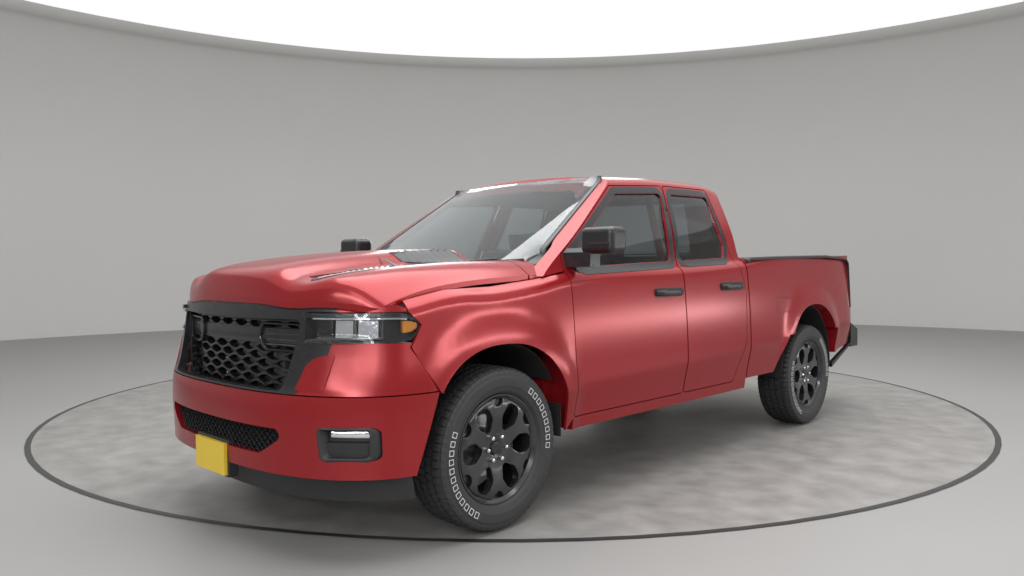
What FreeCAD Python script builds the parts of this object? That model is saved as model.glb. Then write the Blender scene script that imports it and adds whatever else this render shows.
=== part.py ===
"""Pickup truck with a four-door cab, as an assembly of separate pieces, in millimetres.

X points to the truck's left, Y to its tail and Z up. The origin is on the ground under the middle
of its length. Places along the truck are given as distances behind the front axle.
"""
import FreeCAD, Part
import math
import os
import re
from types import SimpleNamespace
import Sketcher
from FreeCAD import Placement, Rotation, Vector

os.makedirs("parts", exist_ok=True)
doc = FreeCAD.newDocument("PickupTruck")

# Driving dimensions
SIZES = (
    ("Whole truck", (
        ("overall_length", 5814), ("front_overhang", 1015), ("wheelbase", 3569),
        ("track_front", 1740), ("track_rear", 1730), ("shut_gap", 6), ("seat_gap", 0.3),
        ("overrun", 400), ("far_side", 1400))),
    ("Tyres and wheels", (
        ("tyre_radius", 405.5), ("tyre_width", 275), ("tyre_bulge_radius", 338), ("tread_width", 232),
        ("bead_width", 212), ("rim_radius", 254), ("rim_wall", 9), ("flange_radius", 271.5),
        ("flange_wall", 8), ("rim_half_width", 114.5), ("hub_radius", 66), ("hub_face_in", 20),
        ("spoke_back", 62), ("spoke_face", 98), ("spoke_root", 50), ("spoke_root_half", 33),
        ("spoke_waist", 128), ("spoke_waist_half", 31), ("spoke_foot_half", 67),
        ("pocket_radius", 31), ("pocket_place", 222), ("disc_radius", 178), ("disc_thick", 28),
        ("disc_in", 45), ("hub_in", 55), ("hat_radius", 95), ("cap_radius", 40), ("cap_rise", 6))),
    ("Knuckles and axles", (
        ("spindle_radius", 30), ("running_gap", 0.08), ("kingpin_in", 85), ("knuckle_thick", 40),
        ("knuckle_width", 90), ("joint_low", 130), ("joint_high", 135), ("pin_radius", 13),
        ("pin_length", 34), ("caliper_near", 100), ("caliper_far", 206), ("caliper_half", 70),
        ("caliper_out", 8), ("caliper_bridge", 20), ("caliper_gap", 6), ("caliper_side", 16),
        ("axle_tube_radius", 44), ("axle_tube_end", 722), ("diff_radius", 135), ("diff_width", 230),
        ("flange_plate", 12), ("brake_flange_radius", 90), ("coil_radius", 52), ("coil_place", 400),
        ("pinion_length", 230), ("pinion_radius", 60))),
    ("Frame", (
        ("rail_place", 400), ("rail_width", 75), ("rail_front", 850), ("rail_rear", 4500),
        ("rail_front_low", 500), ("rail_front_high", 640), ("rail_low", 430), ("rail_high", 580),
        ("rail_rear_low", 600), ("rail_rear_high", 740), ("rail_tail_high", 710),
        ("front_kick", 250), ("front_kick_end", 450),
        ("rear_kick", 2900), ("rear_kick_end", 3230), ("cross_deep", 80), ("cross_high", 60),
        ("cross_front", 780), ("cross_engine", 60), ("cross_gearbox", 1100), ("cross_mid", 2450),
        ("cross_rear", 4080), ("cross_tail", 4440), ("gearbox_cross_high", 30), ("mount_radius", 45),
        ("mount_height", 20), ("cab_mount_front", 520), ("cab_mount_rear", 2380),
        ("bed_mount_front", 3300), ("bed_mount_rear", 4300), ("receiver_outer", 63.5),
        ("receiver_bore", 50.8), ("receiver_length", 230), ("receiver_end", 4700),
        ("receiver_axis", 530))),
    ("Running gear", (
        ("cradle_low", 250), ("cradle_high", 310), ("cradle_deep", 220), ("arm_thick", 28),
        ("arm_end_radius", 40), ("arm_root_half", 110), ("arm_root", 380), ("strut_place", 600),
        ("strut_radius", 45), ("strut_top", 700), ("tower_thick", 30), ("upper_arm_root_half", 90),
        ("engine_front", 430), ("engine_rear", 230), ("engine_half", 280), ("engine_low", 560),
        ("engine_high", 1080), ("gearbox_radius", 130), ("gearbox_end", 1160), ("gearbox_axis", 590),
        ("shaft_radius", 45), ("shaft_end_gap", 0.3), ("tank_front", 1500), ("tank_rear", 2380),
        ("tank_low", 350), ("tank_high", 520), ("tank_inner", 110), ("pipe_radius", 32),
        ("pipe_axis", 492.3), ("pipe_place", 250), ("pipe_front", 120), ("pipe_bend", 120),
        ("muffler_front", 1700), ("muffler_rear", 2350), ("muffler_radius", 95),
        ("tail_pipe_end", 4430), ("tail_pipe_place", 500), ("pipe_turn", 3800), ("radiator_front", 740),
        ("radiator_rear", 680), ("radiator_half", 360), ("radiator_high", 1040),
        ("spare_place", 4080), ("spare_radius", 368), ("spare_width", 200), ("spare_axis", 490),
        ("spare_hub", 130), ("spare_post", 20))),
    ("Body side", (
        ("sill_low", 418), ("door_low", 485), ("sill_half", 968), ("crease_half", 1020),
        ("crease_front_high", 651), ("crease_rear_high", 767), ("side_lean", 33), ("top_roll", 84),
        ("shoulder_half", 987), ("fender_top_half", 922), ("belt_half", 940), ("rail_top_half", 962),
        ("flare_out", 30), ("flare_wide", 150), ("flare_lip", 12), ("arch_axis_high", 450),
        ("front_arch_half", 475), ("front_arch_rise", 478), ("rear_arch_half", 470),
        ("rear_arch_rise", 533), ("fender_tip", 560), ("fender_tip_high", 1150),
        ("fender_mid_high", 1205), ("cowl_side_high", 1235), ("cowl_place", 300),
        ("belt_front_high", 1272), ("belt_rear_high", 1338), ("bed_rail_front_high", 1354),
        ("bed_rail_rear_high", 1382), ("panel_thick", 14), ("tail_half", 985),
        ("tail_corner_half", 950))),
    ("Doors and cab", (
        ("door_front", 548), ("door_split", 1660), ("door_rear", 2440), ("cab_rear", 2497),
        ("door_thick", 130), ("door_corner", 60), ("hinge_back", 60),
        ("hinge_in", 8), ("roof_high", 1930), ("header_high", 1890), ("rail_half", 768),
        ("rail_drop", 118), ("roof_thick", 92), ("frame_thick", 44), ("pillar_foot_high", 1367),
        ("pillar_top", 1190), ("pillar_top_high", 1800), ("door_top_split", 1775),
        ("door_top_high", 1838), ("door_top_rear", 2330), ("door_top_rear_high", 1845),
        ("door_waist_rear", 2339), ("door_waist_high", 1318), ("door_bulge_rear", 2465),
        ("door_bulge_high", 1120), ("door_rear_low", 2305), ("screen_foot", 200),
        ("screen_foot_high", 1250), ("screen_bow", 100), ("screen_thick", 6), ("window_band", 58),
        ("window_corner", 30), ("glass_thick", 5), ("glass_in", 12), ("window_rise", 24),
        ("door_inner", 880),
        ("door_pad_low", 520), ("door_pad_front", 1500),
        ("door_pad_rear", 2200), ("lap", 25), ("swing_low", 12), ("swing_high", 26),
        ("skin_lip", 4), ("floor_high", 600), ("floor_thick", 20), ("tunnel_half", 180),
        ("tunnel_high", 760), ("tunnel_end", 1640), ("inner_half", 862), ("post_thick", 50),
        ("pillar_head_half", 633),
        ("firewall", 462), ("firewall_thick", 24), ("back_wall_thick", 40), ("sill_inner", 800),
        ("back_window_half", 560), ("back_window_low", 1400), ("back_window_high", 1760),
        ("back_lean", 60), ("cowl_front", 318), ("cheek_in", 700), ("cowl_thick", 20))),
    ("Front end", (
        ("nose_axis", 350), ("bumper_nose", 648), ("bumper_half", 1027), ("nose_mid", 618),
        ("nose_mid_half", 1024), ("nose_high_half", 1003), ("nose_top", 560),
        ("nose_top_half", 978), ("bumper_low", 385),
        ("bumper_high", 742), ("nose_top_high", 1155), ("wrap_thick", 40), ("bumper_rear_low", 540),
        ("bumper_rear_high", 418), ("lamp_low_inner", 985), ("lamp_low_outer", 950),
        ("lamp_toe", 545), ("lamp_back", 481),
        ("lamp_back_high", 1047),
        ("lamp_high", 1108), ("lamp_inner", 622), ("fascia_high", 1130), ("grille_half_top", 600),
        ("grille_half_low", 548), ("grille_low", 722), ("grille_high", 1072), ("surround_band", 34),
        ("surround_low_half", 636), ("surround_mid_half", 745),
        ("surround_mid_high", 905), ("surround_top_half", 762),
        ("surround_top_band", 74), ("grille_thick", 22), ("grille_bar", 9), ("grille_pitch", 84),
        ("grille_row", 40), ("intake_half", 420), ("intake_low", 466), ("intake_high", 590),
        ("intake_top_half", 640), ("fog_inner", 760), ("fog_outer", 955), ("fog_low", 467),
        ("fog_high", 614), ("dam_low", 235), ("dam_deep", 500), ("dam_half", 860),
        ("plate_half", 152.5), ("plate_low", 320), ("plate_high", 472),
        ("plate_hole_radius", 3.2), ("plate_hole_across", 177.8), ("plate_hole_up", 120.65),
        ("bumper_bracket_low", 607), ("bumper_bracket_high", 700),
        ("bumper_bracket_front", 957), ("beam_front", 886), ("beam_mid", 850),
        ("beam_land_half", 300), ("beam_rear", 790), ("beam_low", 1078),
        ("beam_high", 1112), ("beam_half", 438))),
    ("Hood", (
        ("hood_half", 918), ("hood_rear", 300), ("hood_dome_front_high", 1164),
        ("hood_dome_rear_high", 1408), ("hood_ridge_front_high", 1152),
        ("hood_ridge_rear_high", 1336), ("hood_edge_front_high", 1108), ("hood_edge_mid_high", 1116),
        ("hood_edge_rear_high", 1250), ("hood_thick", 26), ("hood_hinge", 330),
        ("hood_hinge_high", 1380), ("vent_half", 56), ("vent_place", 520), ("vent_front", 740),
        ("vent_rear", 300), ("vent_sunk", 6), ("vent_corner", 16), ("scoop_in", 300),
        ("scoop_out", 520), ("scoop_front", 150), ("scoop_rear", 270))),
    ("Load bed", (
        ("bed_front", 2512), ("bed_end", 4378), ("bed_inner_half", 843.5), ("bed_floor_high", 790),
        ("bed_floor_thick", 30), ("bed_wall", 40), ("housing_half", 647.5), ("housing_wall", 15),
        ("bed_low", 489), ("bed_skirt_end", 2940), ("bed_tail", 4463), ("bed_tail_high", 600),
        ("rail_cap", 14), ("gate_thick", 60), ("gate_half", 762), ("gate_axis", 4415),
        ("gate_axis_high", 775), ("gate_low", 795), ("gate_lip", 15), ("gate_foot", 20),
        ("gate_pin_radius", 12), ("lamp_tail_low", 931),
        ("lamp_tail_high", 1271), ("lamp_tail_deep", 90), ("lamp_tail_wide", 175),
        ("rear_bumper_low", 560), ("rear_bumper_high", 715), ("rear_bumper_half", 972),
        ("rear_bumper_front", 4500), ("rear_bumper_bow", 140), ("bumper_end_rear", 4650),
        ("bumper_end_front", 4080), ("bumper_end_low", 415), ("rear_bumper_wall", 30))),
    ("Interior", (
        ("dash_half", 780), ("dash_front", 486.3), ("dash_rear", 860), ("dash_low", 780),
        ("dash_high", 1180), ("dash_knee", 640), ("driver_place", 385), ("column_back", 760),
        ("column_high", 1030), ("column_radius", 32), ("column_length", 150), ("steer_ring", 185),
        ("steer_grip", 15), ("steer_hub", 60), ("steer_hub_thick", 40), ("steer_spoke", 22),
        ("seat_front", 1000), ("seat_rear", 1500), ("seat_high", 930), ("seat_half", 255),
        ("seat_back_thick", 130), ("seat_back_high", 1400), ("seat_back_lean", 150),
        ("head_half", 130), ("head_high", 1560), ("bench_front", 1900), ("bench_rear", 2380),
        ("bench_half", 690), ("bench_high", 960))),
    ("Mirrors and trim", (
        ("mirror_in", 1035), ("mirror_out", 1252), ("mirror_front", 560), ("mirror_rear", 705),
        ("mirror_low", 1368), ("mirror_high", 1512), ("mirror_corner", 34), ("mirror_arm_low", 1335),
        ("mirror_arm_thick", 36), ("mirror_arm_back", 570), ("mirror_arm_wide", 84))),
)

sheet = doc.addObject("Spreadsheet::Sheet", "Sizes")
sheet_row = 0
ALIASES = []
for heading, rows in SIZES:
    sheet_row += 1
    sheet.set(f"A{sheet_row}", heading)
    for alias, value in rows:
        sheet_row += 1
        sheet.set(f"A{sheet_row}", alias.replace("_", " "))
        sheet.set(f"B{sheet_row}", str(value))
        sheet.setAlias(f"B{sheet_row}", alias)
        ALIASES.append(alias)
doc.recompute()
mm = SimpleNamespace(**{alias: float(sheet.get(alias)) for alias in ALIASES})

# Places that several pieces share, as formulas of the sheet and as numbers
PLACES = {
    "front_axle": "(front_overhang - overall_length / 2)",
    "rear_axle": "(front_overhang - overall_length / 2 + wheelbase)",
}
FRONT_AXLE = mm.front_overhang - mm.overall_length / 2
REAR_AXLE = FRONT_AXLE + mm.wheelbase
UP = Vector(0, 0, 1)
LEFT = Vector(1, 0, 0)
BACK = Vector(0, 1, 0)

# Curves whose shape is set by shares, chosen by eye: the outlines are superellipses
ARCH_POWER_SHARE = 2.3
NOSE_POWER_SHARE = 2.6
SIDE_STATIONS = 80
WRAP_STEP_SHARES = (0.0, 0.25, 0.45, 0.6, 0.72, 0.82, 0.89, 0.94, 0.972, 0.99, 1.0)

nodes = {}


def formula(text):
    """The text with every alias written as a cell of the sheet."""
    for place, meaning in PLACES.items():
        text = re.sub(rf"\b{place}\b", meaning, text)
    return re.sub(r"[a-z]\w*", lambda word: prefixed(word.group()), text)


def prefixed(word):
    return "Sizes." + word if word in ALIASES else word


def bind(thing, field, text):
    thing.setExpression(field, formula(text))


def place(thing, x="0", y="0", z="0"):
    """Ties the origin of a thing to formulas."""
    for axis, text in zip("xyz", (x, y, z)):
        bind(thing, f"Placement.Base.{axis}", text)


def keep(label, thing):
    """Names a finished sub-part, which is one node of the assembly."""
    thing.Label = label
    nodes[label] = thing
    return thing


def feature(label, shape):
    made = doc.addObject("Part::Feature", label)
    made.Shape = shape
    return keep(label, made)


# Sketches and the features made from them

def new_body(name):
    return doc.addObject("PartDesign::Body", name)


def plane_of(body, role):
    return next(item for item in body.Origin.OriginFeatures if item.Role == role)


def new_sketch(body, name, role, start="0"):
    sketch = body.newObject("Sketcher::SketchObject", name)
    sketch.AttachmentSupport = [(plane_of(body, role), "")]
    sketch.MapMode = "FlatFace"
    bind(sketch, "AttachmentOffset.Base.z", start)
    return sketch


def pin_point(sketch, edge, vertex, across, along_up):
    """Holds one point of a sketch at two formulas from its origin."""
    point = sketch.getPoint(edge, vertex)
    for kind, value, text in (("DistanceX", point.x, across), ("DistanceY", point.y, along_up)):
        index = sketch.addConstraint(Sketcher.Constraint(kind, -1, 1, edge, vertex, value))
        bind(sketch, f"Constraints[{index}]", text)


def draw_outline(sketch, points):
    """A closed run of straight lines through points given as pairs of formulas."""
    first = sketch.GeometryCount
    count = len(points)
    turns = [2 * math.pi * index / count for index in range(count)]
    seeds = [Vector(math.cos(turn), math.sin(turn), 0) for turn in turns]
    for index in range(count):
        sketch.addGeometry(Part.LineSegment(seeds[index], seeds[(index + 1) % count]), False)
    for index in range(count):
        after = first + (index + 1) % count
        sketch.addConstraint(Sketcher.Constraint("Coincident", first + index, 2, after, 1))
    for index, (across, along_up) in enumerate(points):
        pin_point(sketch, first + index, 1, across, along_up)


def draw_circle(sketch, across, along_up, radius):
    edge = sketch.addGeometry(Part.Circle(Vector(0, 0, 0), UP, 1), False)
    pin_point(sketch, edge, 3, across, along_up)
    index = sketch.addConstraint(Sketcher.Constraint("Radius", edge, 1))
    bind(sketch, f"Constraints[{index}]", radius)


def pad(body, name, sketch, length, midplane=False, reverse=False):
    made = body.newObject("PartDesign::Pad", name)
    made.Profile = sketch
    made.Midplane = midplane
    made.Reversed = reverse
    bind(made, "Length", length)
    return made


def pocket(body, name, sketch, length, reverse=False):
    made = body.newObject("PartDesign::Pocket", name)
    made.Profile = sketch
    made.Reversed = reverse
    bind(made, "Length", length)
    return made


def pad_outline(body, name, role, points, length, start="0", midplane=False):
    sketch = new_sketch(body, name + "_sketch", role, start)
    draw_outline(sketch, points)
    return pad(body, name, sketch, length, midplane)


def pad_circle(body, name, role, centre, radius, length, start="0"):
    sketch = new_sketch(body, name + "_sketch", role, start)
    draw_circle(sketch, centre[0], centre[1], radius)
    return pad(body, name, sketch, length)


def revolve(body, name, points, role="XY_Plane", axis="H_Axis"):
    """Turns an outline a full turn about an axis of its sketch."""
    sketch = new_sketch(body, name + "_sketch", role)
    draw_outline(sketch, points)
    made = body.newObject("PartDesign::Revolution", name)
    made.Profile = sketch
    made.ReferenceAxis = (sketch, [axis])
    return made


def mirror(body, name, originals):
    made = body.newObject("PartDesign::Mirrored", name)
    made.Originals = originals
    made.MirrorPlane = (plane_of(body, "YZ_Plane"), [""])
    body.Tip = made
    return made


def rectangle(low_across, high_across, low_up, high_up):
    return ((low_across, low_up), (high_across, low_up), (high_across, high_up),
            (low_across, high_up))


# Curved panels: a panel is a smooth face through a grid of points, given a thickness

def mix(first, last, share):
    return first + (last - first) * share


def ease(share):
    """A smooth step from 0 to 1."""
    share = min(max(share, 0.0), 1.0)
    return share * share * (3 - 2 * share)


def along(table, value):
    """A smooth line through (place, height) pairs, read at a place."""
    if value <= table[0][0]:
        return table[0][1]
    if value >= table[-1][0]:
        return table[-1][1]
    index = next(item for item in range(len(table) - 1) if value <= table[item + 1][0])
    slopes = [(after[1] - before[1]) / (after[0] - before[0])
              for before, after in zip(table, table[1:])]
    low_slope = slopes[index] if index == 0 else (slopes[index] + slopes[index - 1]) / 2
    last = index + 2 >= len(table)
    high_slope = slopes[index] if last else (slopes[index] + slopes[index + 1]) / 2
    span = table[index + 1][0] - table[index][0]
    share = (value - table[index][0]) / span
    square, cube = share ** 2, share ** 3
    return ((2 * cube - 3 * square + 1) * table[index][1]
            + (cube - 2 * square + share) * span * low_slope
            + (3 * square - 2 * cube) * table[index + 1][1]
            + (cube - square) * span * high_slope)


def spread(first, last, count):
    return [mix(first, last, index / (count - 1)) for index in range(count)]


def face_through(grid):
    surface = Part.BSplineSurface()
    surface.interpolate(grid)
    return surface


def face_over(grid):
    """A smooth face that the points of the grid steer, level with them only at its rim."""
    surface = Part.BSplineSurface()
    counts = (len(grid), len(grid[0]))
    knots = [list(range(count - 2)) for count in counts]
    multiples = [[4] + [1] * (count - 4) + [4] for count in counts]
    surface.buildFromPolesMultsKnots(grid, multiples[0], multiples[1], knots[0], knots[1],
                                     False, False, 3, 3)
    return surface


def slab(grid, direction):
    """The face through the grid, thickened along one direction."""
    return face_through(grid).toShape().extrude(direction)


def between_faces(outer_grid, inner_grid, make_face=face_through):
    """The closed solid between two faces whose grids run the same way."""
    outer = make_face(outer_grid)
    inner = make_face(inner_grid)
    low_u, high_u, low_v, high_v = outer.bounds()
    pairs = [(outer.vIso(low_v), inner.vIso(inner.bounds()[2])),
             (outer.vIso(high_v), inner.vIso(inner.bounds()[3])),
             (outer.uIso(low_u), inner.uIso(inner.bounds()[0])),
             (outer.uIso(high_u), inner.uIso(inner.bounds()[1]))]
    faces = [outer.toShape(), inner.toShape()]
    faces += [Part.makeRuledSurface(one.toShape(), two.toShape()) for one, two in pairs]
    shell = Part.Shell(faces)
    shell.sewShape()
    solid = Part.Solid(shell)
    if solid.Volume < 0:
        solid.reverse()
    return solid


def rounded(points, radius):
    """A closed wire through the points with its corners rounded."""
    count = len(points)
    edges = []
    starts, ends = [], []
    for index, point in enumerate(points):
        before = (points[index - 1] - point)
        after = (points[(index + 1) % count] - point)
        half = before.getAngle(after) / 2
        reach = radius / math.tan(half)
        reach = min(reach, before.Length * 0.45, after.Length * 0.45)
        round_size = reach * math.tan(half)
        into = point + Vector(before).normalize() * reach
        out = point + Vector(after).normalize() * reach
        middle = Vector(before).normalize() + Vector(after).normalize()
        middle.normalize()
        centre = point + middle * (round_size / math.sin(half))
        top = centre - middle * round_size
        starts.append(into)
        ends.append((out, Part.Arc(into, top, out).toShape()))
    for index in range(count):
        out, arc = ends[index]
        edges.append(arc)
        edges.append(Part.LineSegment(out, starts[(index + 1) % count]).toShape())
    return Part.Wire(edges)


def side_outline(pairs, radius=0.0):
    """A wire in the plane X = 0 through (distance behind the axle, height) pairs."""
    points = [Vector(0, back(distance), height) for distance, height in pairs]
    if radius:
        return rounded(points, radius)
    return Part.makePolygon(points + points[:1])


def through_side(pairs, radius=0.0, near=0.0, far=None):
    """A prism of a side outline, from near to far along X."""
    far = mm.far_side if far is None else far
    face = Part.Face(side_outline(pairs, radius))
    face.translate(LEFT * near)
    return face.extrude(LEFT * (far - near))


def front_prism(pairs, near, far, radius=0.0):
    """A prism of an (x, z) outline, from near to far behind the front axle."""
    points = [Vector(x, back(near), z) for x, z in pairs]
    wire = rounded(points, radius) if radius else Part.makePolygon(points + points[:1])
    return Part.Face(wire).extrude(BACK * (far - near))


def box_between(low, high):
    low_point = Vector(low[0], back(low[1]), low[2])
    return Part.makeBox(high[0] - low[0], high[1] - low[1], high[2] - low[2], low_point)


def mirrored(shape):
    return shape.mirror(Vector(0, 0, 0), LEFT)


def joined(shapes):
    return shapes[0].fuse(shapes[1:]).removeSplitter()


def back(distance):
    """Y of a place behind the front axle."""
    return FRONT_AXLE + distance


# Form of the body side: half width of the truck at a place and a height

SILL_TUCK_SHARES = ((0.0, 0.0), (0.1, 0.05), (0.3, 0.3), (0.6, 0.66), (0.85, 0.82), (1.0, 1.0))
SIDE_LEAN_SHARES = ((0.0, 0.0), (0.12, 0.04), (0.4, 0.22), (0.7, 0.55), (1.0, 1.0))
ROLL_SHARES = ((0.0, 0.0), (0.35, 0.1), (0.6, 0.28), (0.82, 0.6), (1.0, 1.0))


def crease_high(distance):
    share = distance / mm.wheelbase
    return mix(mm.crease_front_high, mm.crease_rear_high, share)


def top_high(distance):
    """Height of the top edge of fender, door and bed side."""
    return along((
        (-mm.fender_tip, mm.fender_tip_high),
        (-mm.cowl_place, mm.fender_mid_high - mm.panel_thick / 2),
        (0.0, mm.fender_mid_high),
        (mm.cowl_place, mm.cowl_side_high),
        (mm.door_front, mm.belt_front_high),
        (mm.door_split, mix(mm.belt_front_high, mm.belt_rear_high, 0.6)),
        (mm.cab_rear, mm.belt_rear_high),
        (mm.bed_tail, mm.bed_rail_rear_high)), distance)


def top_half(distance):
    return along((
        (-mm.fender_tip, mm.fender_top_half),
        (0.0, mm.fender_top_half),
        (mm.door_front, mm.belt_half),
        (mm.door_rear, mm.belt_half),
        (mm.bed_front + mm.door_corner, mm.rail_top_half),
        (mm.bed_tail, mm.rail_top_half - mm.panel_thick)), distance)


def widest_half(distance):
    return along((
        (-mm.fender_tip, mm.crease_half - mm.panel_thick),
        (0.0, mm.crease_half),
        (mm.wheelbase, mm.crease_half),
        (mm.bed_end, mm.tail_half + mm.panel_thick),
        (mm.bed_tail + mm.gate_thick, mm.tail_half - mm.panel_thick)), distance)


def arch_edge(axle, half, rise, turn, grow=0.0):
    """A point of a wheel arch: 0 is level and behind the wheel, pi level and before it."""
    cosine, sine = math.cos(turn), math.sin(turn)
    power = 2 / ARCH_POWER_SHARE
    across = math.copysign(abs(cosine) ** power, cosine) * (half + grow)
    high = math.copysign(abs(sine) ** power, sine) * (rise + grow)
    return axle + across, mm.arch_axis_high + high


def arch_distance(distance, height, axle, half, rise):
    """Roughly how far outside the arch a place is."""
    across = abs(distance - axle) / half
    high = max(height - mm.arch_axis_high, 0.0) / rise
    radius = (across ** ARCH_POWER_SHARE + high ** ARCH_POWER_SHARE) ** (1 / ARCH_POWER_SHARE)
    return (radius - 1) * (half + rise) / 2


def flare(distance, height):
    """How far the side stands out beside a wheel arch."""
    arches = ((0.0, mm.front_arch_half, mm.front_arch_rise),
              (mm.wheelbase, mm.rear_arch_half, mm.rear_arch_rise))
    outs = [1 - ease((arch_distance(distance, height, *arch) - mm.flare_lip) / mm.flare_wide)
            for arch in arches]
    return mm.flare_out * max(outs)


def side_half(distance, height):
    crease = crease_high(distance)
    top = top_high(distance)
    shoulder = top - mm.top_roll
    widest = widest_half(distance)
    if height <= crease:
        share = (crease - height) / (crease - mm.sill_low)
        half = widest - along(SILL_TUCK_SHARES, share) * (mm.crease_half - mm.sill_half)
    elif height <= shoulder:
        share = (height - crease) / (shoulder - crease)
        half = widest - along(SIDE_LEAN_SHARES, share) * mm.side_lean
    else:
        share = (height - shoulder) / mm.top_roll
        near = widest - mm.side_lean
        half = near - along(ROLL_SHARES, share) * (near - top_half(distance))
    return half + flare(distance, height)


ROW_SHARES_BELOW = (0.0, 0.12, 0.3, 0.5, 0.68, 0.82, 0.92)
ROW_SHARES_ABOVE = (0.0, 0.06, 0.14, 0.28, 0.44, 0.6, 0.76, 0.9, 1.0)
ROW_SHARES_ROLL = (0.2, 0.4, 0.6, 0.8, 1.0, 1.12)


def side_rows(distance):
    """Heights at which the side's section is drawn, from below the sill to above the top."""
    crease = crease_high(distance)
    shoulder = top_high(distance) - mm.top_roll
    low = mm.sill_low - mm.panel_thick
    below = [mix(low, crease, share) for share in ROW_SHARES_BELOW]
    above = [mix(crease, shoulder, share) for share in ROW_SHARES_ABOVE]
    roll = [shoulder + mm.top_roll * share for share in ROW_SHARES_ROLL]
    return below + above + roll


def side_grid(first, last):
    """Steering points of the side, at stations that all panels share so that they are flush."""
    step = mm.wheelbase / SIDE_STATIONS
    numbers = range(math.floor(first / step) - 2, math.ceil(last / step) + 3)
    return [[Vector(side_half(number * step, height), back(number * step), height)
             for height in side_rows(number * step)] for number in numbers]


def side_slab(first, last, thick):
    """The left side skin between two places, thickened inwards."""
    return face_over(side_grid(first, last)).toShape().extrude(LEFT * -thick)


def arch_cutter(axle, half, rise, near, grow=0.0):
    """The space of a wheel arch, from near out past the side."""
    turns = spread(0, math.pi, 25)
    places = [arch_edge(axle, half, rise, turn, grow) for turn in turns]
    points = [Vector(near, back(distance), height) for distance, height in places]
    curve = Part.BSplineCurve()
    curve.interpolate(points)
    low = -mm.overrun
    closing = Part.makePolygon([points[-1], Vector(near, points[-1].y, low),
                                Vector(near, points[0].y, low), points[0]])
    wire = Part.Wire([curve.toShape()] + closing.Edges)
    return Part.Face(wire).extrude(LEFT * (mm.far_side - near))


FRONT_ARCH = (0.0, mm.front_arch_half, mm.front_arch_rise)
REAR_ARCH = (mm.wheelbase, mm.rear_arch_half, mm.rear_arch_rise)


# Tyres and wheels, each turning about X through its own origin

def make_tyre(label, side, x, y):
    body = new_body(label)
    gap = "(rim_radius + seat_gap)"
    revolve(body, label + "_ring", (
        ("-bead_width / 2", gap), ("-bead_width / 2", "flange_radius + seat_gap"),
        ("-tyre_width / 2", "tyre_bulge_radius"), ("-tread_width / 2", "tyre_radius"),
        ("tread_width / 2", "tyre_radius"), ("tyre_width / 2", "tyre_bulge_radius"),
        ("bead_width / 2", "flange_radius + seat_gap"), ("bead_width / 2", gap)))
    put_wheel(body, side, x, y)
    return keep(label, body)


def put_wheel(body, side, x, y):
    if side < 0:
        body.Placement = Placement(Vector(0, 0, 0), Rotation(UP, 180))
    place(body, x, y, "tyre_radius")


def make_wheel(label, side, x, y):
    body = new_body(label)
    inner = "(rim_radius - rim_wall)"
    seat = "(rim_half_width - flange_wall)"
    barrel = revolve(body, label + "_barrel", (
        ("-rim_half_width", inner), ("-rim_half_width", "flange_radius"),
        ("-" + seat, "flange_radius"), ("-" + seat, "rim_radius"),
        (seat, "rim_radius"), (seat, "flange_radius"),
        ("rim_half_width", "flange_radius"), ("rim_half_width", inner)))
    bore = "(spindle_radius + running_gap)"
    disc_face = "(disc_thick - disc_in)"
    revolve(body, label + "_hub", (
        ("-hub_in", bore), ("-hub_in", "hub_radius"), ("-disc_in", "hub_radius"),
        ("-disc_in", "disc_radius"), (disc_face, "disc_radius"), (disc_face, "hat_radius"),
        ("hub_face_in", "hat_radius"), ("hub_face_in", "hub_radius + rim_wall"),
        ("spoke_face - rim_wall", "hub_radius + rim_wall"), ("spoke_face - rim_wall", bore)))
    sketch = new_sketch(body, label + "_spoke_sketch", "YZ_Plane", "spoke_back")
    draw_outline(sketch, (
        ("-spoke_root_half", "spoke_root"), ("spoke_root_half", "spoke_root"),
        ("spoke_waist_half", "spoke_waist"), ("spoke_foot_half", "rim_radius - rim_wall * 1.15"),
        ("0", "rim_radius - rim_wall / 2"), ("-spoke_foot_half", "rim_radius - rim_wall * 1.15"),
        ("-spoke_waist_half", "spoke_waist")))
    spoke = pad(body, label + "_spoke", sketch, "spoke_face - spoke_back")
    doc.recompute()
    hole_sketch = new_sketch(body, label + "_pocket_sketch", "YZ_Plane", "spoke_face")
    draw_circle(hole_sketch, "0", "pocket_place", "pocket_radius")
    hole = pocket(body, label + "_pocket", hole_sketch, "spoke_face - spoke_back")
    turns = body.newObject("PartDesign::PolarPattern", label + "_spokes")
    turns.Originals = [spoke, hole]
    turns.Axis = (sketch, ["N_Axis"])
    turns.Angle = 360
    turns.Occurrences = 6
    body.Tip = turns
    doc.recompute()
    pad_circle(body, label + "_cap", "YZ_Plane", ("0", "0"), "cap_radius",
               "cap_rise", "spoke_face - rim_wall")
    put_wheel(body, side, x, y)
    return keep(label, body)


for axle_name, axle_place in (("front", "front_axle"), ("rear", "rear_axle")):
    for side_name, side in (("left", 1), ("right", -1)):
        wheel_x = f"{side} * track_{axle_name} / 2"
        make_tyre(f"tyre_{axle_name}_{side_name}", side, wheel_x, axle_place)
        make_wheel(f"wheel_{axle_name}_{side_name}", side, wheel_x, axle_place)


# Knuckles: an upright that turns about its two ball pins, with the spindle and the caliper

def caliper_outline(side=1):
    return rectangle(f"{side} * caliper_near", f"{side} * caliper_far", "-caliper_half",
                     "caliper_half")


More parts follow.
